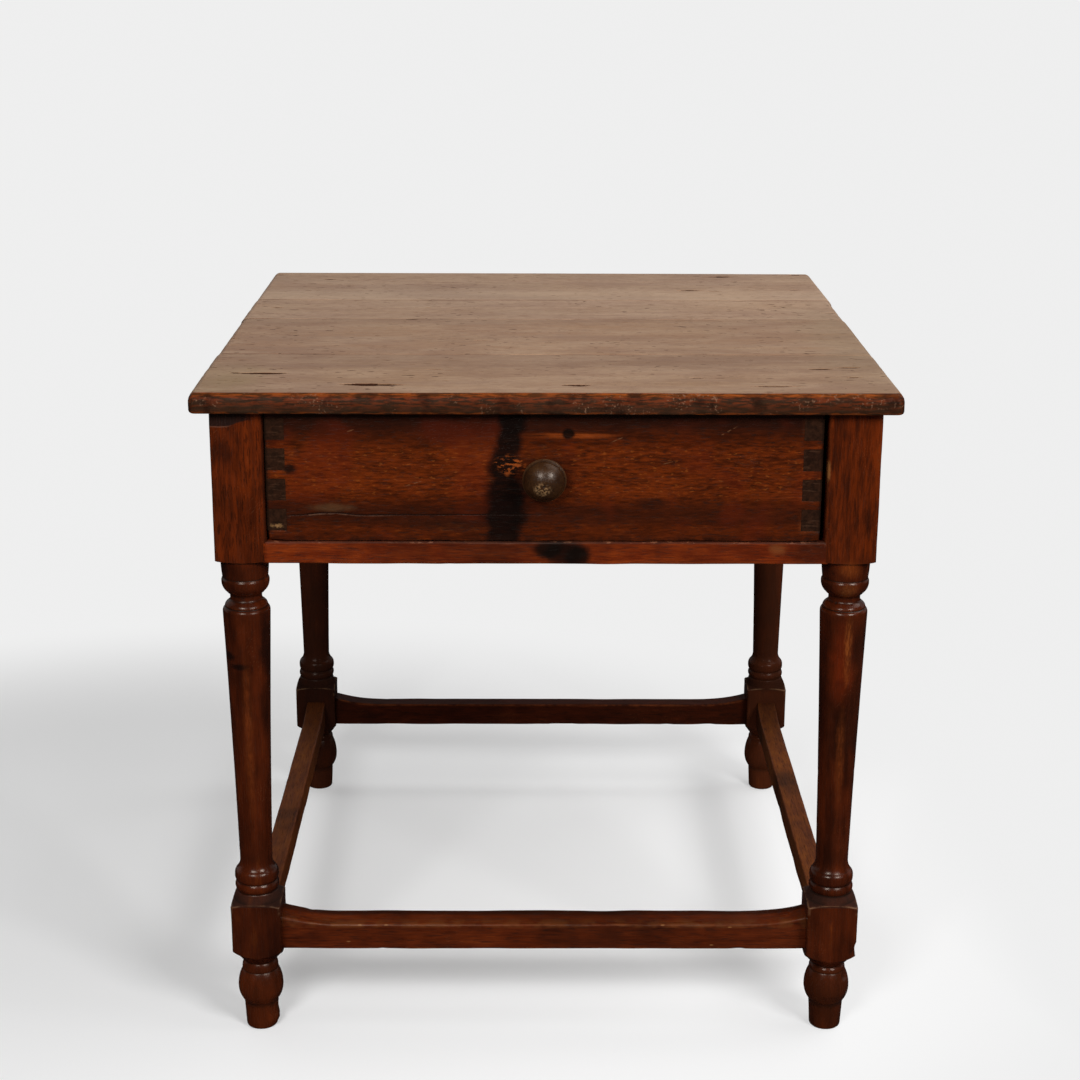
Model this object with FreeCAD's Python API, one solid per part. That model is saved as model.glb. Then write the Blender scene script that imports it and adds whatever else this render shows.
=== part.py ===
import FreeCAD, Part
import math
import os

from FreeCAD import Vector

# Tavern table with four turned legs, a box stretcher and one dovetailed drawer.
# Millimetres, +Z up, front of the table towards -Y. The model is drawn about the middle of its
# four legs, and every piece is moved back by origin_shift on export, so that the origin
# lies on the floor in the middle of the whole table, knob included.

# ---- overall sizes ----
table_height = 740.0
leg_spacing_x = 638.0          # between leg axes, side to side
leg_spacing_y = 677.0          # between leg axes, front to back
post = 56.0                    # square of the leg stock

# ---- top ----
top_thick = 22.0
overhang_side = 19.0
overhang_front = 18.0
overhang_back = 10.0
top_edge_round = 9.0           # worn round along the upper edge
top_lower_round = 3.0
top_corner_round = 9.0
board_width_front = 203.0
board_width_mid_front = 212.0
board_width_mid_back = 130.0
board_trims = ((0.0, 0.0), (1.2, 0.4), (0.0, 1.6), (0.8, 0.0))   # left and right ends, front board first

# ---- turned leg, downwards from the post ----
post_len = 164.5               # square upper end of the leg, below the top boards
arris_round = 1.6              # worn long edges of the square stock
post_shoulder_rise = 3.5       # how much higher the post's corners end than its faces
stock_clear = 2.0              # outline's clearance round the corners where the stock stays square
collar_r = 26.0
collar_h = 19.5
collar_foot_r = 24.7
upper_groove_r = 24.1
upper_groove_h = 1.6
upper_bead_r = 25.8
upper_bead_top_h = 4.6
upper_bead_low_h = 11.6
neck_ring_r = 20.4
neck_ring_h = 0.8
neck_r = 17.2
neck_h = 10.2
shoulder_ring_r = 20.5
shoulder_ring_h = 5.0
shoulder_mid_r = 23.2
shoulder_h = 5.4
shoulder_r = 25.6
shoulder_flat = 2.6
line_cut = 0.45                # depth of a scored line
taper_hollow = 0.65            # how far the long taper dips below a straight line

# ---- turned leg, upwards from the block ----
block_top = 159.3
block_shoulder_drop = 4.8      # how much lower the block's top corners end than its faces
pommel_r = 27.7
ovolo_h = 10.9
ovolo_top_r = 23.9
ring_groove_r = 23.0
ring_groove_h = 1.6
ring_r = 24.5
ring_edge_r = 23.5
ring_h = 9.8
crown_r = 24.4
crown_foot_r = 23.6
crown_low_h = 4.2
crown_top_h = 7.4
crown_lip_r = 21.7
flare_h = 10.6
waist_r = 18.0

# ---- turned leg, below the block ----
block_bottom = 103.6           # where the block's lower corners end
ankle_r = 16.9
ankle_z = 79.4
bulb_r = 25.4
bulb_z = 50.0
bulb_foot_r = 19.9
bulb_foot_z = 33.0
foot_top_r = 19.3
foot_low_r = 17.7
bulb_step = 0.6                # small step down from the bulb to the foot
foot_round = 3.0
bulb_line_z = 73.6

# ---- turned leg: how far each curve bulges out from a straight line, or dips in ----
corner_swell = 0.5             # sloping corners, where the square stock meets the turning
collar_swell = 0.25
bead_top_swell = 0.55
bead_low_swell = 1.5
neck_dip = 1.0
shoulder_swell = 0.6
flare_dip = 0.9
crown_top_swell = 0.9
crown_low_swell = 0.3
ovolo_swell = 0.9
underside_swell = 0.8
bulb_top_swell = 0.15

# ---- drawer rail ----
rail_h = 25.0
rail_depth = 45.0
rail_arris = 3.0
rail_tenon_h = 12.0
rail_tenon_len = 28.0
rail_shoulder = 6.0            # shoulders at the rail tenon's front and back

# ---- aprons ----
apron_thick = 22.0
apron_reveal = 1.5             # set back from the posts' outer faces
apron_lift = 3.0               # lower edge above the posts' square ends
apron_tenon_thick = 9.0
apron_tenon_len = 30.0
apron_tenon_shoulder = 12.0    # above and below each tenon

# ---- stretchers ----
stretcher_thick = 26.0
stretcher_z = 98.5
stretcher_h = 30.5
stretcher_end_rise = 9.0       # how much taller they are at the blocks
stretcher_runout = 62.0
stretcher_arris = 2.2
front_back_edge_h = 36.5       # front stretcher, whose top is less worn at its back edge
stretcher_tenon_thick = 9.0
stretcher_tenon_shoulder = 4.0
joint_gap = 0.2                # all round a tenon in its mortise

# ---- drawer ----
drawer_space_behind = 49.5     # between the drawer and the back apron, where the stops stand
drawer_gap_left = 1.0
drawer_gap_right = 5.0
drawer_top_gap = 2.4
slide_gap = 0.3                # under the drawer sides, over the runners
front_lift = 0.9               # drawer front clear of the rail
front_thick = 22.0
side_thick = 20.0
back_thick = 15.0
side_drop = 3.0                # sides lower than the front at the top
half_pin_low = 11.0
half_pin_top = 5.0
pin_width = 9.3
tail_count = 4
tail_slope = 1.0 / 7.0
back_half_pin = 12.0
back_pin_width = 11.0
back_tail_count = 3
bottom_thick = 8.0
bottom_up = 9.0                # groove above the lower edge
groove_depth = 6.0
groove_gap = 0.15

# ---- runners, guides, stops ----
runner_thick = 20.0
runner_reach = 28.0          # how far the runners reach in past the posts
runner_stub = 8.0
runner_stub_h = 9.0
runner_stub_shoulder = 4.0
guide_h = 30.0
stop_len = 26.0
stop_width = 22.0
stop_h = 14.0
stop_inset = 1.0               # in from the posts' inner faces
stop_round = 2.0

# ---- knob ----
knob_raise = 2.5               # above the middle of the drawer front
knob_out = 37.0
knob_rim_r = 23.0              # widest place
knob_rim_out = 18.0            # back of the rim, from the drawer front
knob_rim_h = 5.0
knob_rim_back_r = 22.2
knob_dome_r = 20.6             # edge of the dome, inside the rim
knob_dome_h = 11.5
knob_neck_r = 9.6
knob_neck_out = 6.5            # thinnest place of the neck, from the drawer front
knob_neck_foot_r = 10.6
knob_neck_dip = 0.3
knob_under_swell = 1.5         # rounded underside, from the rim to the neck
knob_base_r = 14.0
knob_base_h = 3.5
knob_base_slope = 0.8          # fall of the base from the neck to its edge
knob_shank_r = 8.0
bore_gap = 0.1

# ---- nails ----
nail_shank = 3.0
nail_point = 1.65              # width left at the point
nail_head_r = 4.0
nail_head_h = 1.6
nail_sunk = 1.2                # heads punched below the surface
nail_gap = 0.1
nail_clearing = 30.0           # open length above a head, more than any board is thick
top_nail_len = 52.0
top_nail_inset = 30.0          # from the edges of each board
post_nail_in = 8.0             # nails into the posts, in from the leg's axis
back_nail_spacing = 160.0
guide_nail_len = 46.0
guide_nail_inset = 78.0        # from the ends of each guide
bottom_nail_len = 24.0
bottom_nail_inset = 40.0       # from the drawer sides
bottom_nail_count = 4

# ---- places that follow from the sizes ----
half = post / 2.0
corner_r = half * math.sqrt(2.0)
axis_x = leg_spacing_x / 2.0
axis_y = leg_spacing_y / 2.0
face_x = axis_x + half         # outer faces of the posts
face_y = axis_y + half
inner_x = axis_x - half        # inner faces of the posts
inner_y = axis_y - half
leg_top = table_height - top_thick
post_bottom = leg_top - post_len
top_x = face_x + overhang_side
top_front = -face_y - overhang_front
top_back = face_y + overhang_back
rail_bottom = post_bottom
rail_top = rail_bottom + rail_h
rail_back = -face_y + rail_depth
apron_x = face_x - apron_reveal            # outer face of the side aprons
apron_in_x = apron_x - apron_thick
apron_y = face_y - apron_reveal            # outer face of the back apron
apron_in_y = apron_y - apron_thick
apron_bottom = post_bottom + apron_lift
drawer_left = -inner_x + drawer_gap_left
drawer_right = inner_x - drawer_gap_right
drawer_low = rail_top + slide_gap
drawer_front_y = -face_y
drawer_back_y = apron_in_y - drawer_space_behind
front_low = rail_top + front_lift
front_top = leg_top - drawer_top_gap
side_top = front_top - side_drop
bottom_z = drawer_low + bottom_up
back_low = bottom_z + bottom_thick
knob_x = (drawer_left + drawer_right) / 2.0
knob_z = (front_low + front_top) / 2.0 + knob_raise
knob_front = drawer_front_y - knob_out
origin_shift = -(min(knob_front, top_front) + top_back) / 2.0
tolerance = 0.01               # for picking edges by their place


def box(x0, x1, y0, y1, z0, z1):
    return Part.makeBox(x1 - x0, y1 - y0, z1 - z0, Vector(x0, y0, z0))


def grown(x0, x1, y0, y1, z0, z1, gap):
    """A box with a gap added all round, for cutting a mortise or groove."""
    return box(x0 - gap, x1 + gap, y0 - gap, y1 + gap, z0 - gap, z1 + gap)


def fused(first, *rest):
    for shape in rest:
        first = first.fuse(shape)
    return first.removeSplitter()


def cut_all(shape, tools):
    for tool in tools:
        shape = shape.cut(tool)
    return shape


def edges_along(shape, axis, keep=lambda middle: True):
    """Straight edges that run along one axis and whose middle passes the test."""
    found = []
    for edge in shape.Edges:
        if not isinstance(edge.Curve, (Part.Line, Part.LineSegment)):
            continue
        if abs(abs(edge.Curve.Direction.dot(axis)) - 1.0) > 1e-6:
            continue
        if keep(edge.CenterOfMass):
            found.append(edge)
    return found


def prism(points, direction):
    """A closed outline of corner points, pushed along a direction."""
    ring = [Vector(*point) for point in points]
    return Part.Face(Part.makePolygon(ring + ring[:1])).extrude(direction)


def mirrored_x(shape):
    return shape.mirror(Vector(0, 0, 0), Vector(1, 0, 0))


def mirrored_y(shape):
    return shape.mirror(Vector(0, 0, 0), Vector(0, 1, 0))


def export(name, *solids):
    whole = solids[0] if len(solids) == 1 else Part.makeCompound(list(solids))
    whole = whole.translated(Vector(0, origin_shift, 0))
    for solid in whole.Solids:
        if not solid.isValid():
            print("not valid:", name)
    whole.exportStep("parts/" + name + ".step")
    print(name, len(whole.Solids), "solid(s)", round(whole.Volume / 1000.0, 1), "cm3")


class Turning:
    """An outline cut on the lathe, drawn as radius and height from one cut to the next."""

    def __init__(self, radius, height):
        self.start = Vector(radius, 0, height)
        self.at = self.start
        self.edges = []

    def line(self, radius, height):
        there = Vector(radius, 0, height)
        self.edges.append(Part.makeLine(self.at, there))
        self.at = there

    def curve(self, radius, height, swell):
        """An arc whose middle stands out from the straight line by swell, or in if it is negative."""
        there = Vector(radius, 0, height)
        run = there - self.at
        outward = Vector(-run.z, 0, run.x) / run.Length
        if outward.x < 0.0:
            outward = -outward
        middle = (self.at + there) / 2.0 + outward * swell
        self.edges.append(Part.Arc(self.at, middle, there).toShape())
        self.at = there

    def scored(self, depth):
        """A fine line cut into the curve: in and out again below the present point."""
        self.line(self.at.x - depth, self.at.z - depth)
        self.line(self.at.x + depth, self.at.z - depth)

    def solid(self):
        closing = [self.at, Vector(0, 0, self.at.z), Vector(0, 0, self.start.z)]
        if self.start.x > 0.0:
            closing.append(self.start)
        self.edges += [Part.makeLine(a, b) for a, b in zip(closing, closing[1:])]
        face = Part.Face(Part.Wire(self.edges))
        return face.revolve(Vector(0, 0, 0), Vector(0, 0, 1), 360)


# ---- legs ----

def bulb_upper_r(height):
    """Radius of the bulb's upper curve, an arc that stands upright at its widest place."""
    rise = ankle_z - bulb_z
    fall = bulb_r - ankle_r
    arc_r = (fall * fall + rise * rise) / (2.0 * fall)
    step = height - bulb_z
    return bulb_r - arc_r + math.sqrt(arc_r * arc_r - step * step)


def arc_swell(width, height):
    """Sagitta of the arc that ends upright after going in by width over a height."""
    radius = (width * width + height * height) / (2.0 * width)
    chord = math.hypot(width, height)
    return radius - math.sqrt(radius * radius - chord * chord / 4.0)


def turned_leg():
    """Outline from the top of the post down to the floor."""
    clear_r = corner_r + stock_clear
    t = Turning(clear_r, leg_top)
    t.line(clear_r, post_bottom + post_shoulder_rise)
    t.curve(collar_r, post_bottom, corner_swell)
    z = post_bottom - collar_h
    t.curve(collar_foot_r, z, collar_swell)
    z -= upper_groove_h
    t.line(upper_groove_r, z)
    z -= upper_bead_top_h
    t.curve(upper_bead_r, z, bead_top_swell)
    z -= upper_bead_low_h
    t.curve(neck_ring_r, z, bead_low_swell)
    z -= neck_ring_h
    t.line(neck_ring_r - line_cut, z)
    z -= neck_h / 2.0
    t.curve(neck_r, z, -neck_dip)
    z -= neck_h / 2.0
    t.curve(shoulder_ring_r - line_cut, z, -neck_dip)
    t.line(shoulder_ring_r, z - line_cut)
    z -= shoulder_ring_h
    t.curve(shoulder_mid_r, z, shoulder_swell)
    t.scored(line_cut)
    z -= shoulder_h
    t.curve(shoulder_r, z, shoulder_swell)
    z -= shoulder_flat
    t.line(shoulder_r, z)
    lower = block_top + ovolo_h + 2.0 * ring_groove_h + ring_h + crown_low_h + crown_top_h
    t.curve(waist_r, lower + flare_h, -taper_hollow)
    t.curve(crown_lip_r - line_cut, lower + line_cut, -flare_dip)
    t.line(crown_lip_r, lower)
    z = lower - crown_top_h
    t.curve(crown_r, z, crown_top_swell)
    z -= crown_low_h
    t.curve(crown_foot_r, z, crown_low_swell)
    z -= ring_groove_h / 2.0
    t.line(ring_groove_r, z)
    z -= ring_groove_h / 2.0
    t.line(ring_edge_r, z)
    z -= ring_h
    t.curve(ring_edge_r, z, ring_r - ring_edge_r)
    z -= ring_groove_h / 2.0
    t.line(ring_groove_r, z)
    z -= ring_groove_h / 2.0
    t.line(ovolo_top_r, z)
    t.curve(pommel_r, block_top, ovolo_swell)
    t.curve(clear_r, block_top - block_shoulder_drop, corner_swell)
    t.line(clear_r, block_bottom)
    t.curve(ankle_r, ankle_z, underside_swell)
    line_r = bulb_upper_r(bulb_line_z)
    t.curve(line_r, bulb_line_z, bulb_top_swell)
    t.scored(line_cut)
    below_line = bulb_line_z - 2.0 * line_cut
    t.curve(bulb_r, bulb_z, arc_swell(bulb_r - line_r, below_line - bulb_z))
    t.curve(bulb_foot_r, bulb_foot_z, arc_swell(bulb_r - bulb_foot_r, bulb_z - bulb_foot_z))
    t.line(foot_top_r, bulb_foot_z - bulb_step)
    t.line(foot_low_r, foot_round)
    t.curve(foot_low_r - foot_round, 0.0, arc_swell(foot_round, foot_round))
    return t.solid()


def leg_stock():
    """The square stick that the leg is turned from, with its long edges worn round."""
    stick = box(-half, half, -half, half, 0.0, leg_top)
    return stick.makeFillet(arris_round, edges_along(stick, Vector(0, 0, 1)))


def apron_tenon_z():
    return apron_bottom + apron_tenon_shoulder, leg_top - apron_tenon_shoulder


def side_apron_tenon(back):
    """Box of a side apron's tenon on the right, as x, y and z limits, inside one post."""
    low, high = apron_tenon_z()
    x1 = apron_x - (apron_thick - apron_tenon_thick) / 2.0
    y0 = inner_y if back else -inner_y - apron_tenon_len
    return (x1 - apron_tenon_thick, x1, y0, y0 + apron_tenon_len, low, high)


def back_apron_tenon():
    low, high = apron_tenon_z()
    y1 = apron_y - (apron_thick - apron_tenon_thick) / 2.0
    return (inner_x, inner_x + apron_tenon_len, y1 - apron_tenon_thick, y1, low, high)


def rail_tenon():
    low = rail_bottom + (rail_h - rail_tenon_h) / 2.0
    front = -face_y + rail_shoulder
    return (inner_x, inner_x + rail_tenon_len, front, rail_back - rail_shoulder, low, low + rail_tenon_h)


def stretcher_tenon_len():
    """Stops short of the tenon that comes in from the side."""
    return half - stretcher_tenon_thick / 2.0 - 3.0 * joint_gap


def stretcher_tenon(start, along_x):
    """Tenon of a stretcher that ends at the inner face of a block on the right or at the back."""
    side = stretcher_tenon_thick / 2.0
    low = stretcher_z + stretcher_tenon_shoulder
    high = stretcher_z + stretcher_h
    end = start + stretcher_tenon_len()
    if along_x:
        return (start, end, -side, side, low, high)
    return (-side, side, start, end, low, high)


def shifted(limits, dx, dy):
    x0, x1, y0, y1, z0, z1 = limits
    return (x0 + dx, x1 + dx, y0 + dy, y1 + dy, z0, z1)


def make_legs():
    """Right-hand legs are drawn and then mirrored to the left."""
    blank = turned_leg().common(leg_stock())
    for place, end in (("front", -1.0), ("back", 1.0)):
        leg = blank.translated(Vector(axis_x, end * axis_y, 0))
        tenons = [side_apron_tenon(place == "back")]
        tenons.append(rail_tenon() if place == "front" else back_apron_tenon())
        tenons.append(shifted(stretcher_tenon(inner_x, True), 0.0, end * axis_y))
        sideways = box(*shifted(stretcher_tenon(inner_y, False), axis_x, 0.0))
        if place == "front":
            sideways = mirrored_y(sideways)
        limits = sideways.BoundBox
        tenons.append((limits.XMin, limits.XMax, limits.YMin, limits.YMax, limits.ZMin, limits.ZMax))
        leg = cut_all(leg, [grown(*tenon, joint_gap) for tenon in tenons] + top_nail_holes()[:2])
        export("leg_" + place + "_right", leg)
        export("leg_" + place + "_left", mirrored_x(leg))


# ---- stretchers ----

def stretcher_outline(reach, y, height):
    """Side view of a stretcher: level in the middle, with a hollow run-out up to each block."""
    low = stretcher_z
    high = stretcher_z + height
    tall = high + stretcher_end_rise
    start = Vector(reach - stretcher_runout, y, high)
    end = Vector(reach, y, tall)
    run = end - start
    dip = Vector(run.z, 0, -run.x) / run.Length * arc_swell(run.z, run.x)
    right = Part.Arc(start, (start + end) / 2.0 + dip, end).toShape()
    corners = [end, Vector(reach, y, low), Vector(-reach, y, low), Vector(-reach, y, tall)]
    sides = [Part.makeLine(a, b) for a, b in zip(corners, corners[1:])]
    top = Part.makeLine(Vector(-start.x, y, high), start)
    return Part.Wire([right, *sides, mirrored_x(right), top])


def stretcher(length, back_h):
    """A stretcher along X about the origin, with its front edge at y < 0 and a tenon at both ends."""
    reach = length / 2.0
    side = stretcher_thick / 2.0
    front = stretcher_outline(reach, -side, stretcher_h)
    back = stretcher_outline(reach, side, back_h)
    bar = Part.makeLoft([front, back], True, True)
    lower = edges_along(bar, Vector(1, 0, 0), lambda middle: middle.z < stretcher_z + tolerance)
    bar = bar.makeFillet(stretcher_arris, lower)
    tenon = box(*stretcher_tenon(reach, True))
    return fused(bar, tenon, mirrored_x(tenon))


def make_stretchers():
    export("stretcher_front", stretcher(2.0 * inner_x, front_back_edge_h).translated(Vector(0, -axis_y, 0)))
    export("stretcher_back", stretcher(2.0 * inner_x, stretcher_h).translated(Vector(0, axis_y, 0)))
    side_bar = stretcher(2.0 * inner_y, stretcher_h)
    side_bar.rotate(Vector(0, 0, 0), Vector(0, 0, 1), 90)
    export("stretcher_right", side_bar.translated(Vector(axis_x, 0, 0)))
    export("stretcher_left", side_bar.translated(Vector(-axis_x, 0, 0)))


# ---- rail and aprons ----

def make_rail():
    rail = box(-inner_x, inner_x, -face_y, rail_back, rail_bottom, rail_top)
    front = edges_along(rail, Vector(1, 0, 0), lambda middle: middle.y < -face_y + tolerance)
    upper = [edge for edge in front if edge.CenterOfMass.z > rail_bottom + tolerance]
    rail = rail.makeFillet(rail_arris, upper)
    tenon = box(*rail_tenon())
    rail = fused(rail, tenon, mirrored_x(tenon))
    stub = grown(*runner_stub_front(), joint_gap)
    export("drawer_rail", cut_all(rail, [stub, mirrored_x(stub)]))


def make_aprons():
    side = box(apron_in_x, apron_x, -inner_y, inner_y, apron_bottom, leg_top)
    side = fused(side, box(*side_apron_tenon(True)), box(*side_apron_tenon(False)))
    side = cut_all(side, top_nail_holes() + guide_nail_holes())
    export("side_apron_right", side)
    export("side_apron_left", mirrored_x(side))
    back = box(-inner_x, inner_x, apron_in_y, apron_y, apron_bottom, leg_top)
    tenon = box(*back_apron_tenon())
    back = fused(back, tenon, mirrored_x(tenon))
    stub = grown(*runner_stub_back(), joint_gap)
    export("back_apron", cut_all(back, [stub, mirrored_x(stub)] + back_nail_holes()))


# ---- drawer runners, guides and stops ----

def runner_in_x():
    return inner_x - runner_reach


def runner_stub_front():
    low = rail_top - (runner_thick + runner_stub_h) / 2.0
    x0 = runner_in_x() + runner_stub_shoulder
    x1 = inner_x - runner_stub_shoulder
    return (x0, x1, rail_back - runner_stub, rail_back, low, low + runner_stub_h)


def runner_stub_back():
    shift = apron_in_y + runner_stub - rail_back
    return shifted(runner_stub_front(), 0.0, shift)


def make_runners():
    low = rail_top - runner_thick
    wide = box(runner_in_x(), apron_in_x, -inner_y, inner_y, low, rail_top)
    long = box(runner_in_x(), inner_x, rail_back, apron_in_y, low, rail_top)
    runner = fused(wide, long, box(*runner_stub_front()), box(*runner_stub_back()))
    export("drawer_runner_right", runner)
    export("drawer_runner_left", mirrored_x(runner))
    guide = box(inner_x, apron_in_x, -inner_y, inner_y, rail_top, rail_top + guide_h)
    guide = cut_all(guide, guide_nail_holes())
    export("drawer_guide_right", guide)
    export("drawer_guide_left", mirrored_x(guide))
    start = drawer_back_y + slide_gap
    edge = inner_x - stop_inset
    stop = box(edge - stop_width, edge, start, start + stop_len, rail_top, rail_top + stop_h)
    worn = edges_along(stop, Vector(1, 0, 0), lambda middle: middle.z > rail_top + tolerance)
    stop = stop.makeFillet(stop_round, worn)
    export("drawer_stop_right", stop)
    export("drawer_stop_left", mirrored_x(stop))


# ---- top ----

def board_seams():
    """Places of the joints between the top boards, from the front edge backwards."""
    first = top_front + board_width_front
    second = first + board_width_mid_front
    third = second + board_width_mid_back
    return [top_front, first, second, third, top_back]


def rounded_slab(left, right):
    """The whole top with its worn edges, its ends cut back by left and right."""
    slab = box(-top_x + left, top_x - right, top_front, top_back, leg_top, table_height)
    slab = slab.makeFillet(top_corner_round, edges_along(slab, Vector(0, 0, 1)))
    upper = [edge for edge in slab.Edges if edge.BoundBox.ZMin > table_height - tolerance]
    slab = slab.makeFillet(top_edge_round, upper)
    lower = [edge for edge in slab.Edges if edge.BoundBox.ZMax < leg_top + tolerance]
    return slab.makeFillet(top_lower_round, lower)


def make_top():
    """Each board is one strip of the slab, with ends that don't quite line up with its neighbours'."""
    seams = board_seams()
    side_holes = top_nail_holes()
    holes = side_holes + [mirrored_x(hole) for hole in side_holes] + back_nail_holes()
    names = ("front", "mid_front", "mid_back", "back")
    for name, start, end, trims in zip(names, seams, seams[1:], board_trims):
        strip = box(-top_x, top_x, start, end, leg_top, table_height)
        board = rounded_slab(*trims).common(strip)
        inside = [hole for hole in holes if hole.BoundBox.intersect(strip.BoundBox)]
        export("top_board_" + name, cut_all(board, inside))


# ---- nails ----

def nail(head, direction, length, gap=0.0):
    """A forged nail: round head, square tapering shank. With a gap it is the hole for one."""
    top = Part.makePolygon([Vector(x, y, 0) for x, y in square(nail_shank / 2.0 + gap)])
    end = Part.makePolygon([Vector(x, y, -length - gap) for x, y in square(nail_point / 2.0 + gap)])
    shank = Part.makeLoft([top, end], True)
    cap = Part.makeCylinder(nail_head_r + gap, nail_head_h + gap, Vector(0, 0, -nail_head_h - gap))
    shape = cap.fuse(shank)
    if gap:
        shape = shape.fuse(Part.makeCylinder(nail_head_r + gap, nail_clearing))
    turn = FreeCAD.Rotation(Vector(0, 0, -1), direction)
    shape.Placement = FreeCAD.Placement(head, turn)
    return shape


def square(side):
    return [(-side, -side), (side, -side), (side, side), (-side, side), (-side, -side)]


def top_nail_places():
    """Heads on the right: two in each board over the side apron, and one over each post."""
    x = apron_x - apron_thick / 2.0
    z = table_height - nail_sunk
    seams = board_seams()
    reach = inner_y - top_nail_inset
    places = [Vector(axis_x - post_nail_in, end * axis_y, z) for end in (-1.0, 1.0)]
    for start, end in zip(seams, seams[1:]):
        places.append(Vector(x, max(start + top_nail_inset, -reach), z))
        places.append(Vector(x, min(end - top_nail_inset, reach), z))
    return places


def back_nail_places():
    y = apron_y - apron_thick / 2.0
    z = table_height - nail_sunk
    return [Vector(x, y, z) for x in (-back_nail_spacing, 0.0, back_nail_spacing)]


def guide_nail_places():
    z = rail_top + guide_h / 2.0
    reach = inner_y - guide_nail_inset
    return [Vector(inner_x + nail_sunk, y, z) for y in (-reach, 0.0, reach)]


def bottom_nail_places():
    y = drawer_back_y - back_thick / 2.0
    z = bottom_z + nail_sunk / 2.0
    first = drawer_left + side_thick + bottom_nail_inset
    last = drawer_right - side_thick - bottom_nail_inset
    step = (last - first) / (bottom_nail_count - 1)
    return [Vector(first + step * index, y, z) for index in range(bottom_nail_count)]


def top_nail_holes():
    return [nail(place, Vector(0, 0, -1), top_nail_len, nail_gap) for place in top_nail_places()]


def back_nail_holes():
    return [nail(place, Vector(0, 0, -1), top_nail_len, nail_gap) for place in back_nail_places()]


def guide_nail_holes():
    return [nail(place, Vector(1, 0, 0), guide_nail_len, nail_gap) for place in guide_nail_places()]


def make_nails():
    right = [nail(place, Vector(0, 0, -1), top_nail_len) for place in top_nail_places()]
    back = [nail(place, Vector(0, 0, -1), top_nail_len) for place in back_nail_places()]
    export("top_nails", *right, *[mirrored_x(one) for one in right], *back)
    right = [nail(place, Vector(1, 0, 0), guide_nail_len) for place in guide_nail_places()]
    export("guide_nails", *right, *[mirrored_x(one) for one in right])
    export("drawer_bottom_nails", *[nail(p, Vector(0, 0, 1), bottom_nail_len) for p in bottom_nail_places()])


# ---- drawer ----

def tails(low, high, half_low, half_high, pins, count, depth):
    """Outlines of the dovetails of one side board, as (y, z) corners, with depth 0 at their wide end."""
    tail = (high - low - half_low - half_high - pins * (count - 1)) / count
    flare = depth * tail_slope
    shapes = []
    for index in range(count):
        z0 = low + half_low + index * (tail + pins)
        z1 = z0 + tail
        shapes.append([(0.0, z0), (0.0, z1), (depth, z1 - flare), (depth, z0 + flare)])
    return shapes


def tail_solids(outlines, y_end, inward, x0, x1):
    """Solids of the tails, running from the end of a side board at y_end inward along y."""
    solids = []
    for outline in outlines:
        corners = [(x0, y_end + inward * depth, z) for depth, z in outline]
        solids.append(prism(corners, Vector(x1 - x0, 0, 0)))
    return solids


def drawer_tails(x0, x1):
    front = tails(front_low, front_top, half_pin_low, half_pin_top, pin_width, tail_count, front_thick)
    front = tail_solids(front, drawer_front_y, 1.0, x0, x1)
    back = tails(
        back_low, side_top, back_half_pin, back_half_pin, back_pin_width, back_tail_count, back_thick
    )
    back = tail_solids(back, drawer_back_y, -1.0, x0, x1)
    return front, back


def bottom_limits():
    """The drawer bottom in its grooves: it slides in under the back and stops in the front."""
    x0 = drawer_left + side_thick - groove_depth
    x1 = drawer_right - side_thick + groove_depth
    y0 = drawer_front_y + front_thick - groove_depth
    return x0, x1, y0, drawer_back_y, bottom_z, bottom_z + bottom_thick


def make_drawer():
    y_front = drawer_front_y + front_thick
    y_back = drawer_back_y - back_thick
    groove = grown(*bottom_limits(), groove_gap)
    front = box(drawer_left, drawer_right, drawer_front_y, y_front, front_low, front_top)
    back = box(drawer_left, drawer_right, y_back, drawer_back_y, back_low, side_top)
    for name, x0, x1 in (
        ("left", drawer_left, drawer_left + side_thick),
        ("right", drawer_right - side_thick, drawer_right),
    ):
        front_tails, back_tails = drawer_tails(x0, x1)
        side = box(x0, x1, y_front, y_back, drawer_low, side_top)
        below = box(x0, x1, y_back, drawer_back_y, drawer_low, back_low)
        side = fused(side, below, *front_tails, *back_tails)
        export("drawer_side_" + name, side.cut(groove))
        front = cut_all(front, front_tails)
        back = cut_all(back, back_tails)
    bore = Part.makeCylinder(knob_shank_r + bore_gap, front_thick, knob_centre(), Vector(0, 1, 0))
    export("drawer_front", cut_all(front, [groove, bore]))
    export("drawer_back", cut_all(back, bottom_nail_holes()))
    x0, x1, y0, y1, z0, z1 = bottom_limits()
    middle = (y0 + y1) / 2.0
    export("drawer_bottom_front", box(x0, x1, y0, middle, z0, z1))
    export("drawer_bottom_back", cut_all(box(x0, x1, middle, y1, z0, z1), bottom_nail_holes()))


def bottom_nail_holes():
    return [nail(place, Vector(0, 0, 1), bottom_nail_len, nail_gap) for place in bottom_nail_places()]


def knob_centre():
    return Vector(knob_x, drawer_front_y, knob_z)


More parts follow.
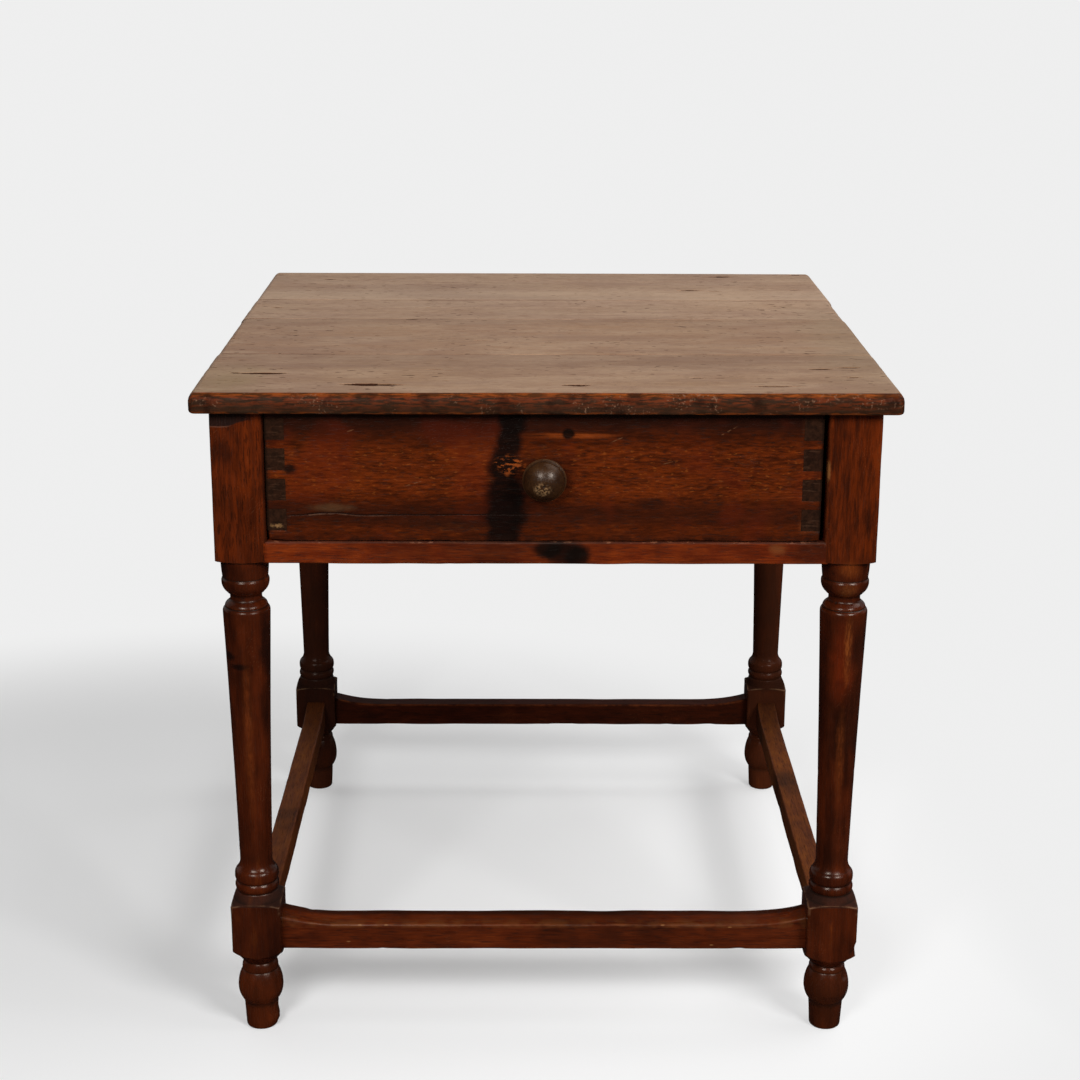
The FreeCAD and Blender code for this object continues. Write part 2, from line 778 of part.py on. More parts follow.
def make_knob():
    """Turned about the Z axis with its dome up, then laid over so that the dome faces the front."""
    t = Turning(0.0, knob_out)
    t.curve(knob_dome_r, knob_out - knob_dome_h, arc_swell(knob_dome_h, knob_dome_r))
    t.line(knob_dome_r, knob_rim_out + knob_rim_h)
    t.curve(knob_rim_back_r, knob_rim_out, knob_rim_r - (knob_dome_r + knob_rim_back_r) / 2.0)
    t.curve(knob_neck_r, knob_neck_out, knob_under_swell)
    t.curve(knob_neck_foot_r, knob_base_h, -knob_neck_dip)
    t.line(knob_base_r, knob_base_h - knob_base_slope)
    t.line(knob_base_r, 0.0)
    t.line(knob_shank_r, 0.0)
    t.line(knob_shank_r, -front_thick)
    knob = t.solid()
    knob.Placement = FreeCAD.Placement(knob_centre(), FreeCAD.Rotation(Vector(0, 0, 1), Vector(0, -1, 0)))
    export("drawer_knob", knob)


os.makedirs("parts", exist_ok=True)
make_legs()
make_stretchers()
make_rail()
make_aprons()
make_runners()
make_top()
make_nails()
make_drawer()
make_knob()
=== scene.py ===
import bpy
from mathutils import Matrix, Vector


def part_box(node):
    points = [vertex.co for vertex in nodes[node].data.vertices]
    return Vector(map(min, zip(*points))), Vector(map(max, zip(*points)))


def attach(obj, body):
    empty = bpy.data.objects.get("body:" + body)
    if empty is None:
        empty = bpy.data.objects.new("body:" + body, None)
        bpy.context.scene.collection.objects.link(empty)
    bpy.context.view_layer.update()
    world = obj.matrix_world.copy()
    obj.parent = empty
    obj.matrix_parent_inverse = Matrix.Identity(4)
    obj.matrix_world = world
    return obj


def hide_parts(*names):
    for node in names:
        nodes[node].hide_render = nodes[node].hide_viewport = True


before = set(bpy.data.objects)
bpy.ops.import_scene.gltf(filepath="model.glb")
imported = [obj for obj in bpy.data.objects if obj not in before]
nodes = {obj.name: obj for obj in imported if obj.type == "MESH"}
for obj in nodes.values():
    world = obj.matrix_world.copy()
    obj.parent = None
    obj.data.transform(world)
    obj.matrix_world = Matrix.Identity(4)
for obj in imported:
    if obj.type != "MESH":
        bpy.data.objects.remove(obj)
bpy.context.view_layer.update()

import math

import bmesh
import bpy
import numpy as np
from mathutils import Matrix, Vector

print("frame loaded:", len(nodes), "nodes")


# Sockets and node trees, for materials and for geometry.

class Socket:
    # one output that can be used in a sum, in either kind of tree
    def __init__(self, graph, socket):
        self.graph = graph
        self.socket = socket

    def __add__(self, other):
        return self.graph.maths("ADD", self, other)

    def __sub__(self, other):
        return self.graph.maths("SUBTRACT", self, other)

    def __rsub__(self, other):
        return self.graph.maths("SUBTRACT", other, self)

    def __mul__(self, other):
        return self.graph.maths("MULTIPLY", self, other)

    def __truediv__(self, other):
        return self.graph.maths("DIVIDE", self, other)

    def __rtruediv__(self, other):
        return self.graph.maths("DIVIDE", other, self)

    def __abs__(self):
        return self.graph.maths("ABSOLUTE", self)

    __radd__ = __add__
    __rmul__ = __mul__


class Graph:
    def __init__(self, tree):
        self.tree = tree

    def node(self, kind, values=None, out=0, stops=None, **settings):
        made = self.tree.nodes.new(kind)
        for name, value in settings.items():
            setattr(made, name, value)
        if stops:
            ramp = made.color_ramp.elements
            while len(ramp) < len(stops):
                ramp.new(0.5)
            for element, (place, colour) in zip(ramp, stops):
                element.position = place
                element.color = colour
        for name, value in (values or {}).items():
            if isinstance(value, Socket):
                self.tree.links.new(value.socket, made.inputs[name])
            else:
                made.inputs[name].default_value = value
        return Socket(self, made.outputs[out]) if made.outputs else made

    def maths(self, operation, *values):
        return self.node("ShaderNodeMath", dict(enumerate(values)), operation=operation)

    def vector(self, operation, *values, out=0):
        return self.node("ShaderNodeVectorMath", dict(enumerate(values)), out=out, operation=operation)

    def split(self, vector):
        made = self.node("ShaderNodeSeparateXYZ", {0: vector}).socket.node
        return [Socket(self, output) for output in made.outputs]

    def join(self, x, y, z):
        return self.node("ShaderNodeCombineXYZ", {0: x, 1: y, 2: z})

    def fade(self, value, low, high):
        # 0 below low, 1 above high, smooth between
        values = {"Value": value, "From Min": low, "From Max": high}
        return self.node("ShaderNodeMapRange", values, interpolation_type="SMOOTHSTEP")

    def below(self, value, low, high):
        # 1 below low, 0 above high
        return 1.0 - self.fade(value, low, high)

    def band(self, value, low, full, fading, high):
        # 1 between full and fading, 0 below low and above high
        return self.fade(value, low, full) * self.below(value, fading, high)

    def mix(self, factor, first, second):
        return self.node("ShaderNodeMix", {0: factor, 6: first, 7: second}, out=2, data_type="RGBA")

    def tint(self, colour, amount, code):
        return self.mix(amount, colour, paint(code))

    def noise(self, point, scale, detail=2.0, out=0):
        values = {"Vector": point, "Scale": scale, "Detail": detail, "Roughness": 0.6}
        return self.node("ShaderNodeTexNoise", values, out=out)


def emptyGraph(owner):
    # the node tree of a material or of the world, cleared
    owner.use_nodes = True
    owner.node_tree.nodes.clear()
    return Graph(owner.node_tree)


def paint(code):
    # a colour written as on the web, such as 46200e, in Blender's linear values
    parts = [int(code[i:i + 2], 16) / 255.0 for i in (0, 2, 4)]
    return tuple(p / 12.92 if p < 0.04045 else ((p + 0.055) / 1.055) ** 2.4 for p in parts) + (1.0,)


# Shaping meshes.

def softNoise(points, size, seed):
    # smooth random values from -1 to 1 that change over about that size
    lattice = np.random.RandomState(seed).uniform(-1.0, 1.0, (32, 32, 32))
    cell = np.floor(points / size).astype(int)
    part = points / size - cell
    part = part * part * (3.0 - 2.0 * part)
    total = np.zeros(len(points))
    for corner in np.ndindex(2, 2, 2):
        weight = np.prod(np.where(corner, part, 1.0 - part), axis=1)
        total += weight * lattice[tuple(((cell + corner) % 32).T)]
    return total


def ease(values, low, high):
    t = np.clip((values - low) / (high - low), 0.0, 1.0)
    return t * t * (3.0 - 2.0 * t)


def boxSkin(xs, ys, zs):
    # closed skin of a box, with a grid line at each given place
    lines = [np.asarray(v, float) for v in (xs, ys, zs)]
    counts = [len(v) for v in lines]
    corners = []
    for axis in range(3):
        b, c = (axis + 1) % 3, (axis + 2) % 3
        row, column = np.meshgrid(np.arange(counts[b] - 1), np.arange(counts[c] - 1), indexing="ij")
        for side in (0, counts[axis] - 1):
            quads = np.zeros(row.shape + (4, 3), int)
            quads[..., axis] = side
            order = [(0, 0), (1, 0), (1, 1), (0, 1)]
            for k, (i, j) in enumerate(order if side else order[::-1]):
                quads[..., k, b] = row + i
                quads[..., k, c] = column + j
            corners.append(quads.reshape(-1, 4, 3))
    corners = np.concatenate(corners)
    keys = (corners[..., 0] * counts[1] + corners[..., 1]) * counts[2] + corners[..., 2]
    unique, faces = np.unique(keys, return_inverse=True)
    index = [unique // (counts[1] * counts[2]), unique // counts[2] % counts[1], unique % counts[2]]
    points = np.stack([lines[a][index[a]] for a in range(3)], axis=1)
    return points, faces.reshape(-1, 4)


def gridLines(low, high, gap, rimLow=(), rimHigh=(), extra=()):
    # even places between two limits, with closer ones near each end and wherever else they are wanted
    even = np.linspace(low, high, max(2, int(round((high - low) / gap)) + 1))
    near = [low + r for r in rimLow] + [high - r for r in rimHigh] + [e for e in extra if low < e < high]
    places = np.unique(np.concatenate([even, near]))
    keep = [places[0]]
    least = 0.0003               # lines nearer to each other than this are left out
    for place in places[1:-1]:
        if place - keep[-1] > least and places[-1] - place > least:
            keep.append(place)
    return np.array(keep + [places[-1]])


def roundOff(points, low, high, radius):
    # takes the edges off a box to a radius that may differ from point to point
    radius = np.broadcast_to(radius, len(points))[:, None]
    core = np.clip(points, low + radius, high - radius)
    away = points - core
    far = np.linalg.norm(away, axis=1, keepdims=True)
    return np.where(far > radius, core + away * radius / np.maximum(far, 1e-9), points)


def meshFrom(name, points, faces, attributes=None):
    mesh = bpy.data.meshes.new(name)
    mesh.from_pydata(points.tolist(), [], faces.tolist())
    mesh.shade_smooth()
    for label, values in (attributes or {}).items():
        store(mesh, label, values)
    return mesh


def store(mesh, label, values):
    attribute = mesh.attributes.get(label) or mesh.attributes.new(label, "FLOAT", "POINT")
    attribute.data.foreach_set("value", np.asarray(values, np.float32))


def pointsOf(mesh):
    points = np.zeros(len(mesh.vertices) * 3)
    mesh.vertices.foreach_get("co", points)
    return points.reshape(-1, 3)


def markWear(mesh, ridge=(60.0, 230.0), hollow=(25.0, 130.0), keep=1.0):
    # stores how sharply the surface bends out or in, where hands rub it or wax and dirt gather
    points = pointsOf(mesh)
    normals = np.zeros(len(points) * 3)
    mesh.vertices.foreach_get("normal", normals)
    normals = normals.reshape(-1, 3)
    edges = np.zeros(len(mesh.edges) * 2, int)
    mesh.edges.foreach_get("vertices", edges)
    first, second = edges.reshape(-1, 2).T
    span = points[second] - points[first]
    square = np.maximum((span * span).sum(1), 1e-10)
    number = np.maximum(np.bincount(edges, minlength=len(points)), 1)

    def spread(atFirst, atSecond):
        total = np.bincount(first, atFirst, len(points)) + np.bincount(second, atSecond, len(points))
        return total / number

    bend = 2.0 * spread(-(normals[first] * span).sum(1) / square, (normals[second] * span).sum(1) / square)
    for turn in range(2):
        bend = 0.5 * bend + 0.5 * spread(bend[second], bend[first])
    store(mesh, "ridge", ease(bend, *ridge) * keep)
    store(mesh, "hollow", ease(-bend, *hollow))


def addObject(name, data):
    made = bpy.data.objects.new(name, data)
    bpy.context.scene.collection.objects.link(made)
    return made


def finishPiece(name, mesh, body, slot, material, *replaced):
    mesh.materials.clear()
    mesh.materials.append(material)
    piece = addObject(name, mesh)
    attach(piece, body)
    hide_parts(*replaced)


# Wood finishes.

def stretch(axis, along, across):
    scale = [across] * 3
    scale[axis] = along
    return scale


def grain(g, point, axis, along, across, detail=3.0, shift=0.0):
    # a noise drawn out along the grain; along and across are counts per metre
    place = {"Vector": point, "Location": (shift, -shift, shift), "Scale": stretch(axis, along, across)}
    return g.noise(g.node("ShaderNodeMapping", place), 1.0, detail)


def waver(g, point, axis, reach):
    # a slow drift across the grain that keeps it from running dead straight
    slow = g.node("ShaderNodeMapping", {"Vector": point, "Scale": stretch(axis, 4.0, 12.0)})
    drift = g.vector("SUBTRACT", g.noise(slow, 1.0, 2.0, out="Color"), (0.5, 0.5, 0.5))
    return g.vector("MULTIPLY", drift, stretch(axis, 0.0, reach))


def blotch(g, point, place, reach, ragged=0.5, size=60.0, core=0.75):
    # a stain with a ragged outline: 1 in its middle, 0 outside
    away = g.vector("DIVIDE", g.vector("SUBTRACT", point, place), reach)
    edge = g.vector("LENGTH", away, out="Value") + (g.noise(point, size, 3.0) - 0.5) * (ragged * 2.0)
    return g.below(edge, core, 1.15)


def strokes(g, point, lines, width):
    # fine marks on an upright front, each from one x and z to another
    x, y, z = g.split(point)
    marked = 0.0
    for x0, z0, x1, z1 in lines:
        length = math.hypot(x1 - x0, z1 - z0)
        ux, uz = (x1 - x0) / length, (z1 - z0) / length
        along = (x - x0) * ux + (z - z0) * uz
        off = abs((z - z0) * ux - (x - x0) * uz)
        line = g.below(off, width * 0.3, width) * g.fade(along, 0.0, length * 0.2)
        marked = g.maths("MAXIMUM", marked, line * g.below(along, length * 0.8, length))
    return marked * g.fade(g.noise(point, 180.0, 3.0), 0.38, 0.52)


def attributeOf(g, label):
    return g.node("ShaderNodeAttribute", out="Fac", attribute_name=label)


def fourTones(*codes):
    # the colours of wood from its darkest grain to its lightest
    return list(zip((0.1, 0.4, 0.6, 0.9), codes))


woodLook = {
    "grainAxis": 0,
    "waver": 0.012,
    # counts per metre along and across the grain, and how much each counts in the tone
    "broad": (3.0, 22.0), "streak": (12.0, 130.0), "fibre": (38.0, 520.0), "mottle": (40.0, 95.0),
    "pore": (60.0, 900.0),
    "shares": (0.28, 0.16, 0.28, 0.28),
    "contrast": 1.5,
    "tones": fourTones("1d0a05", "3f180a", "5c2610", "8c4519"),
    "dark": "120906", "worn": "7e3f1c", "grime": "0f0805",
    "cloudScale": 7.0, "cloudRange": (0.48, 0.72), "cloudDepth": 0.6,
    "poreDepth": 0.5, "rub": 0.3, "dirt": 0.8, "scratch": 0.3, "scratched": "8a5a38",
    "rough": 0.26, "gloss": 0.6, "glint": "fff0e2",
    "bump": 0.25, "bumpDepth": 0.0005,
}


def scratches(g, point, axis, turn, shift):
    # thin straight marks, lying at an angle to the grain on the faces along it
    turned = g.node("ShaderNodeMapping", {"Vector": point, "Rotation": turn, "Location": (shift,) * 3})
    line = g.fade(grain(g, turned, axis, 20.0, 1100.0, 0.0), 0.71, 0.76)
    return line * g.fade(g.noise(turned, 12.0, 2.0), 0.58, 0.66)


def woodMaterial(name, look, marks=None):
    # waxed old wood with its grain along one axis; marks paints what only this piece has
    material = bpy.data.materials.new(name)
    g = emptyGraph(material)
    axis = look["grainAxis"]
    point = g.node("ShaderNodeTexCoord", out="Object")
    bent = g.vector("ADD", point, waver(g, point, axis, look["waver"]))
    broad = grain(g, bent, axis, *look["broad"], 2.0)
    streak = grain(g, bent, axis, *look["streak"], 3.0, 3.7)
    fibre = grain(g, bent, axis, *look["fibre"], 2.0, 9.1)
    mottle = grain(g, bent, axis, *look["mottle"], 4.0, 6.6)
    pore = g.fade(grain(g, bent, axis, *look["pore"], 1.0, 5.3), 0.56, 0.70)
    cloud = g.fade(g.noise(point, look["cloudScale"], 3.0), *look["cloudRange"])
    figure = sum(part * share for part, share in zip((broad, streak, fibre, mottle), look["shares"]))
    tone = (figure - 0.5) * look["contrast"] + 0.5
    stops = [(place, paint(code)) for place, code in look["tones"]]
    colour = g.node("ShaderNodeValToRGB", {"Fac": tone}, stops=stops)
    colour = g.tint(colour, cloud * look["cloudDepth"], look["dark"])
    colour = g.tint(colour, pore * look["poreDepth"], look["dark"])
    rubbed = attributeOf(g, "ridge") * g.fade(g.noise(point, 90.0, 4.0), 0.35, 0.62)
    hollow = attributeOf(g, "hollow")
    colour = g.tint(colour, rubbed * look["rub"], look["worn"])
    colour = g.tint(colour, hollow * look["dirt"], look["grime"])
    marked = scratches(g, point, axis, (0.5, 0.35, 0.4), 0.6)
    marked = marked + scratches(g, point, axis, (-0.2, -0.7, -0.5), 2.1)
    colour = g.tint(colour, marked * look["scratch"], look["scratched"])
    surface = {
        "colour": colour,
        "rough": look["rough"] + (streak - 0.5) * 0.2 + pore * 0.12 + marked * 0.1 + hollow * 0.15,
        "height": fibre * 0.5 + streak * 0.3 - pore * 0.7 - marked * 0.8,
    }
    if marks:
        marks(g, point, surface, {"fibre": fibre, "streak": streak, "broad": broad, "mottle": mottle})
    bump = g.node("ShaderNodeBump", {
        "Strength": look["bump"], "Distance": look["bumpDepth"], "Height": surface["height"],
    })
    shader = g.node("ShaderNodeBsdfPrincipled", {
        "Base Color": surface["colour"], "Roughness": surface["rough"], "Normal": bump,
        "Specular IOR Level": look["gloss"], "Specular Tint": paint(look["glint"]),
    })
    g.node("ShaderNodeOutputMaterial", {"Surface": shader})
    return material


# The top: four boards, worn round along the outside and open at a few old splits.

topSettings = {
    "nodes": ["top_board_front", "top_board_mid_front", "top_board_mid_back", "top_board_back"],
    "rim": 0.009,                # round along the upper edge
    "lowerRim": 0.003,
    "underMargin": 0.012,        # width of the fine grid left round the underside
    # extra grid lines, measured inwards from an outer edge and from a joint
    "rimLines": (0.0008, 0.002, 0.0035, 0.0052, 0.007, 0.009),
    "seamLines": (0.0008, 0.0018, 0.0032, 0.0050),
    "gapX": 0.004,
    "gapY": 0.0016,
    "gapZ": 0.0045,
    "seamSink": 0.0006,
    "seamWidth": 0.0050,
    "seamGap": 0.0002,
    "ripple": 0.00006,
    "dish": 0.0003,
    "edgeWaver": 0.0006,
    "fineWaver": 0.0002,
    "chipDepth": 0.0014,
    "chipSize": 0.011,
    "wornFront": -0.355,         # the edge in front of here is worn in full
    "wearElsewhere": 0.3,
    "dullFront": -0.352,         # the edge in front of here has the edge's finish
    "dullSplit": 0.0003,         # depth from which a split has the edge's finish
    "shownSplit": 0.0010,        # depth from which a split is fully marked
    # greyish patches, painted sheen over the wood's tone: place, reach, how ragged, how strong and their
    # colour
    "patches": [
        ((-0.335, -0.300, 0.739), (0.055, 0.085, 0.05), 0.6, 0.35, "84724a"),
        ((0.350, -0.120, 0.739), (0.075, 0.340, 0.05), 0.5, 0.25, "84765c"),
    ],
    "crumbled": (-0.352, 0.262, 0.345),      # x of the most broken places in the front edge
    # x, y, length, width and depth of each split
    "splits": [
        (-0.304, -0.2717, 0.068, 0.0118, 0.0022),
        (-0.179, -0.3248, 0.074, 0.0175, 0.0044),
        (0.030, -0.3275, 0.034, 0.0120, 0.0032),
        (0.239, -0.3301, 0.056, 0.0070, 0.0026),
        (0.237, 0.3577, 0.044, 0.0125, 0.0034),
        (0.191, 0.2490, 0.036, 0.0100, 0.0030),
        (0.222, 0.2420, 0.022, 0.0050, 0.0014),
        (0.346, 0.3760, 0.030, 0.0090, 0.0026),
        (0.326, -0.2351, 0.028, 0.0085, 0.0026),
        (0.3265, -0.2850, 0.020, 0.0060, 0.0018),
        (0.2945, -0.2433, 0.028, 0.0085, 0.0020),
        (0.329, 0.2550, 0.020, 0.0060, 0.0016),
        (0.352, 0.0900, 0.024, 0.0050, 0.0016),
        (-0.350, 0.0448, 0.050, 0.0060, 0.0016),
        (-0.353, -0.1684, 0.034, 0.0060, 0.0016),
        (-0.358, -0.0800, 0.016, 0.0060, 0.0022),
        (-0.330, 0.1198, 0.018, 0.0060, 0.0018),
        (-0.283, 0.3302, 0.022, 0.0070, 0.0016),
        (-0.355, 0.3650, 0.030, 0.0070, 0.0018),
        (-0.029, 0.1735, 0.024, 0.0050, 0.0016),
        (-0.074, -0.0884, 0.018, 0.0044, 0.0012),
        (0.160, -0.2900, 0.018, 0.0050, 0.0014),
        (-0.120, -0.2500, 0.022, 0.0040, 0.0012),
    ],
}


def cutSplits(points, onTop):
    depth = np.zeros(len(points))
    for number, (x, y, length, width, deep) in enumerate(topSettings["splits"]):
        along = (points[:, 0] - x) / (length / 2.0)
        lean = 0.3 * (-1.0) ** number                               # widest off the middle
        room = np.clip((1.0 - along * along) * (1.0 + lean * along), 1e-4, 1.0)
        line = points * (1.0, 0.0, 0.0) + number * 0.37
        room = room * (0.9 + 0.15 * softNoise(line, 0.009, 70 + number))
        sway = softNoise(line, 0.022, 40 + number) * width * 0.09
        across = (points[:, 1] - y - sway) / (width / 2.0)
        across = np.where(across > 0.0, across * 1.7, across)      # straight behind, bellied in front
        cut = np.clip(1.0 - (across / room) ** 2, 0.0, 1.0) * (np.abs(along) < 1.0)
        depth = np.maximum(depth, np.sqrt(cut * room) * deep)
    return depth * onTop


def topBoard(node, outerFront, outerBack):
    s = topSettings
    low, high = (np.array(corner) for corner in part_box(node))
    extraX = []
    extraY = []
    for x, y, length, width, deep in s["splits"]:
        extraX += list(x + length * np.linspace(-0.5, 0.5, 5 + int(deep * 2500.0)))
        extraY += list(y + width * np.linspace(-0.7, 0.7, 15))
    near = s["rimLines"]
    xs = gridLines(low[0], high[0], s["gapX"], near, near, extraX)
    frontLines = near if outerFront else s["seamLines"]
    backLines = near if outerBack else s["seamLines"]
    ys = gridLines(low[1], high[1], s["gapY"], frontLines, backLines, extraY)
    zs = gridLines(low[2], high[2], s["gapZ"])
    points, faces = boxSkin(xs, ys, zs)
    share = (points[:, 2] - low[2]) / (high[2] - low[2])
    onTop = share > 0.999
    atSeam = np.zeros(len(points))
    if not outerFront:
        atSeam += 1.0 - ease(points[:, 1] - low[1], 0.0, s["seamWidth"])
    if not outerBack:
        atSeam += 1.0 - ease(high[1] - points[:, 1], 0.0, s["seamWidth"])

    rim = s["rim"]
    coreLow = [low[0] + rim, low[1] + rim if outerFront else low[1]]
    coreHigh = [high[0] - rim, high[1] - rim if outerBack else high[1]]
    core = np.clip(points[:, :2], coreLow, coreHigh)
    away = points[:, :2] - core
    reach = np.abs(away).max(1)
    outward = away / np.maximum(np.linalg.norm(away, axis=1), 1e-9)[:, None]
    inset = s["lowerRim"] - (rim - reach)
    dropTop = rim - np.sqrt(np.maximum(rim ** 2 - reach ** 2, 0.0))
    inset = np.clip(inset, 0.0, s["lowerRim"])
    dropLow = s["lowerRim"] - np.sqrt(s["lowerRim"] ** 2 - inset ** 2)
    z = (low[2] + dropLow) * (1.0 - share) + (high[2] - dropTop) * share

    shaped = np.column_stack([core + outward * reach[:, None], z])
    edge = reach / rim
    worn = s["edgeWaver"] * (0.5 + 0.5 * softNoise(shaped, 0.09, 3))
    worn += s["fineWaver"] * (1.0 + softNoise(shaped, 0.014, 5))
    chips = s["chipDepth"] * ease(softNoise(shaped * (1.0, 1.0, 1.6), s["chipSize"], 7), 0.42, 0.95)
    inFront = np.where(shaped[:, 1] < s["wornFront"], 1.0, s["wearElsewhere"])
    worn *= 0.3 + 0.7 * inFront
    chips *= inFront
    shaped[:, :2] -= outward * ((worn + chips) * ease(edge, 0.05, 0.7))[:, None]
    ripple = s["ripple"] * (1.0 + softNoise(points * (0.2, 1.0, 1.0), 0.005, 11))
    dish = s["dish"] * (1.0 + softNoise(points * (0.5, 1.0, 0.0), 0.09, 13))
    shaped[:, 2] -= (ripple + dish) * onTop + chips * ease(edge, 0.1, 0.5) * (1.0 - edge) * share * 0.6
    split = cutSplits(points, onTop)
    shaped[:, 2] -= split + atSeam ** 3 * onTop * s["seamSink"]
    shaped[:, 1] -= (atSeam > 0.999) * s["seamGap"] * np.sign(shaped[:, 1] - (low[1] + high[1]) / 2.0)

    rimmed = np.where(onTop, edge, np.where(share < 0.001, 0.9, 1.0))
    mesh = meshFrom(node, shaped, faces, {
        "split": np.clip(split / s["shownSplit"], 0.0, 1.0),
        "rim": rimmed,
        "seam": atSeam,
        "boardEnd": ease(np.abs(away[:, 0]), 0.004, 0.0085),
    })
    markWear(mesh)
    front = (rimmed[faces].mean(1) > 0.2) & (shaped[faces][:, :, 1].mean(1) < s["dullFront"])
    dull = front | (rimmed[faces].min(1) > 0.95) | (split[faces].mean(1) > s["dullSplit"])
    mesh.polygons.foreach_set("material_index", dull.astype(np.int32))
    joinUnderside(mesh, low + s["underMargin"], high - s["underMargin"])
    dull = np.zeros(len(mesh.polygons), np.int32)
    mesh.polygons.foreach_get("material_index", dull)
    return mesh, dull


def joinUnderside(mesh, low, high):
    # the flat middle of the underside needs no grid
    work = bmesh.new()
    work.from_mesh(mesh)
    flat = [face for face in work.faces if face.normal.z < -0.999 and all(
        low[0] < vert.co.x < high[0] and low[1] < vert.co.y < high[1] for vert in face.verts
    )]
    bmesh.ops.dissolve_faces(work, faces=flat)
    work.to_mesh(mesh)
    work.free()


def topMarks(g, point, surface, grains):
    x, y, z = g.split(point)
    rim = attributeOf(g, "rim")
    notFront = g.fade(y, -0.3620, -0.3560)
    notched = rim + notFront * (g.noise(point, 110.0, 3.0) - 0.5) * 0.3
    flat = g.below(notched, 0.04 + notFront * 0.74, 0.26 + notFront * 0.66)
    edge = 1.0 - flat
    # a pale greyish haze over the flat: painted sheen laid over the wood's tone
    paintedSheen = g.mix(g.fade(g.noise(point, 5.0, 3.0), 0.35, 0.65), paint("a88668"), paint("987862"))
    colour = g.mix(flat * 0.4, surface["colour"], paintedSheen)
    bands = g.fade(grain(g, point, 0, 2.2, 34.0, 3.0, 4.4), 0.42, 0.62)
    colour = g.tint(colour, flat * bands * 0.4, "846450")
    clouds = g.fade(grain(g, point, 0, 9.0, 26.0, 4.0, 2.6), 0.42, 0.62)
    colour = g.tint(colour, flat * clouds * 0.3, "b6987c")
    fine = grain(g, point, 0, 70.0, 170.0, 4.0, 8.2)
    colour = g.tint(colour, flat * g.fade(fine, 0.46, 0.66) * 0.3, "7c5c48")
    dashes = g.fade(grain(g, point, 0, 45.0, 190.0, 2.0, 1.3), 0.66, 0.71) * flat
    dashes = dashes * (0.35 + g.fade(abs(x), 0.10, 0.30) * 0.65)
    colour = g.tint(colour, dashes * 0.75, "42281a")
    pits = g.fade(grain(g, point, 0, 75.0, 200.0, 1.0, 7.3), 0.69, 0.73) * flat
    colour = g.tint(colour, pits * g.fade(g.noise(point, 7.0, 2.0), 0.40, 0.56) * 0.85, "3c2416")
    crossed = scratches(g, point, 1, (0.3, 0.2, 0.5), 1.1) + scratches(g, point, 0, (0.1, 0.1, 0.25), 3.1)
    colour = g.tint(colour, crossed * flat * 0.4, "5e4432")
    # greyish patches of painted sheen
    for place, reach, ragged, depth, tone in topSettings["patches"]:
        patch = blotch(g, point, place, reach, ragged, 20.0, 0.1)
        colour = g.tint(colour, patch * flat * depth, tone)
    # darker along the front of two joints and towards the right, paler behind the third joint
    shade = g.band(y, -0.262, -0.235, -0.174, -0.168) * 0.10
    shade = shade + g.band(y, 0.0, 0.040, 0.0435, 0.0445) * 0.08
    shade = shade + g.fade(x, 0.0, 0.2) * g.below(y, 0.0, 0.1) * 0.10
    colour = g.tint(colour, shade * flat, "5a3c28")
    pale = g.band(y, 0.174, 0.182, 0.225, 0.27) * 0.22
    colour = g.tint(colour, pale * flat, "d2b69a")
    nearEdge = g.below(y, -0.3680, -0.3540) * flat
    colour = g.tint(colour, nearEdge * 0.35, "7a4a2a")
    # the worn edge: bright along the arris, worn wood with a painted highlight; darker downwards
    low = g.below(z, 0.7215, 0.7345)
    arris = g.fade(z, 0.7350, 0.7385) * edge
    streaky = g.fade(grain(g, point, 0, 60.0, 380.0, 4.0, 6.1), 0.42, 0.60)
    dark = g.mix(streaky, paint("1e0b05"), paint("5c2007"))
    dark = g.tint(dark, low * 0.82, "140502")
    colour = g.mix(edge * 0.92, colour, dark)
    # painted highlight along the worn arris
    glow = g.mix(streaky, paint("542a0e"), paint("8a4416"))
    colour = g.mix(arris * (0.6 + g.fade(x, 0.0, 0.12) * 0.25), colour, glow)
    underside = g.below(z, 0.7195, 0.7215)
    colour = g.tint(colour, underside * streaky * edge * 0.5, "8a4014")
    where = g.noise(point, 24.0, 2.0)
    for place in topSettings["crumbled"]:
        near = blotch(g, point, (place, -0.371, 0.7300), (0.026, 0.03, 0.009), 0.4, 60.0, 0.1)
        where = where + near * 0.16
    # pale crumbs: broken wood, with painted glints
    crumbsAndGlints = g.fade(g.noise(point, 340.0, 4.0), 0.56, 0.65) * g.fade(where, 0.52, 0.64) * edge
    colour = g.tint(colour, crumbsAndGlints * 0.65, "7e5c46")
    gouge = g.fade(g.noise(point, 30.0, 4.0), 0.5, 0.64) * edge
    colour = g.tint(colour, gouge * 0.6, "1c0d08")
    endGrain = attributeOf(g, "boardEnd") * edge
    rings = g.node("ShaderNodeMapping", {"Vector": point, "Scale": (60.0, 160.0, 900.0)})
    rings = g.fade(g.noise(rings, 1.0), 0.4, 0.6)
    colour = g.tint(colour, endGrain * rings * 0.6, "221009")
    split = g.fade(attributeOf(g, "split"), 0.12, 0.6)
    colour = g.mix(split * 0.94, colour, g.mix(g.noise(point, 300.0), paint("0e0604"), paint("38160c")))
    seam = g.fade(attributeOf(g, "seam") + (g.noise(point, 14.0, 4.0) - 0.5) * 2.2, 0.45, 1.2)
    colour = g.tint(colour, seam * flat * 0.55, "4a3226")
    surface["colour"] = colour
    broken = g.maths("MAXIMUM", g.maths("MAXIMUM", dashes, pits), split)
    surface["rough"] = surface["rough"] + flat * 0.22 + broken * 0.5 - crumbsAndGlints * 0.15
    chipped = crumbsAndGlints * 1.5 - gouge * 1.2 + g.noise(point, 330.0, 3.0) * 1.1
    surface["height"] = surface["height"] - dashes * 0.6 - pits * 0.8 + edge * chipped
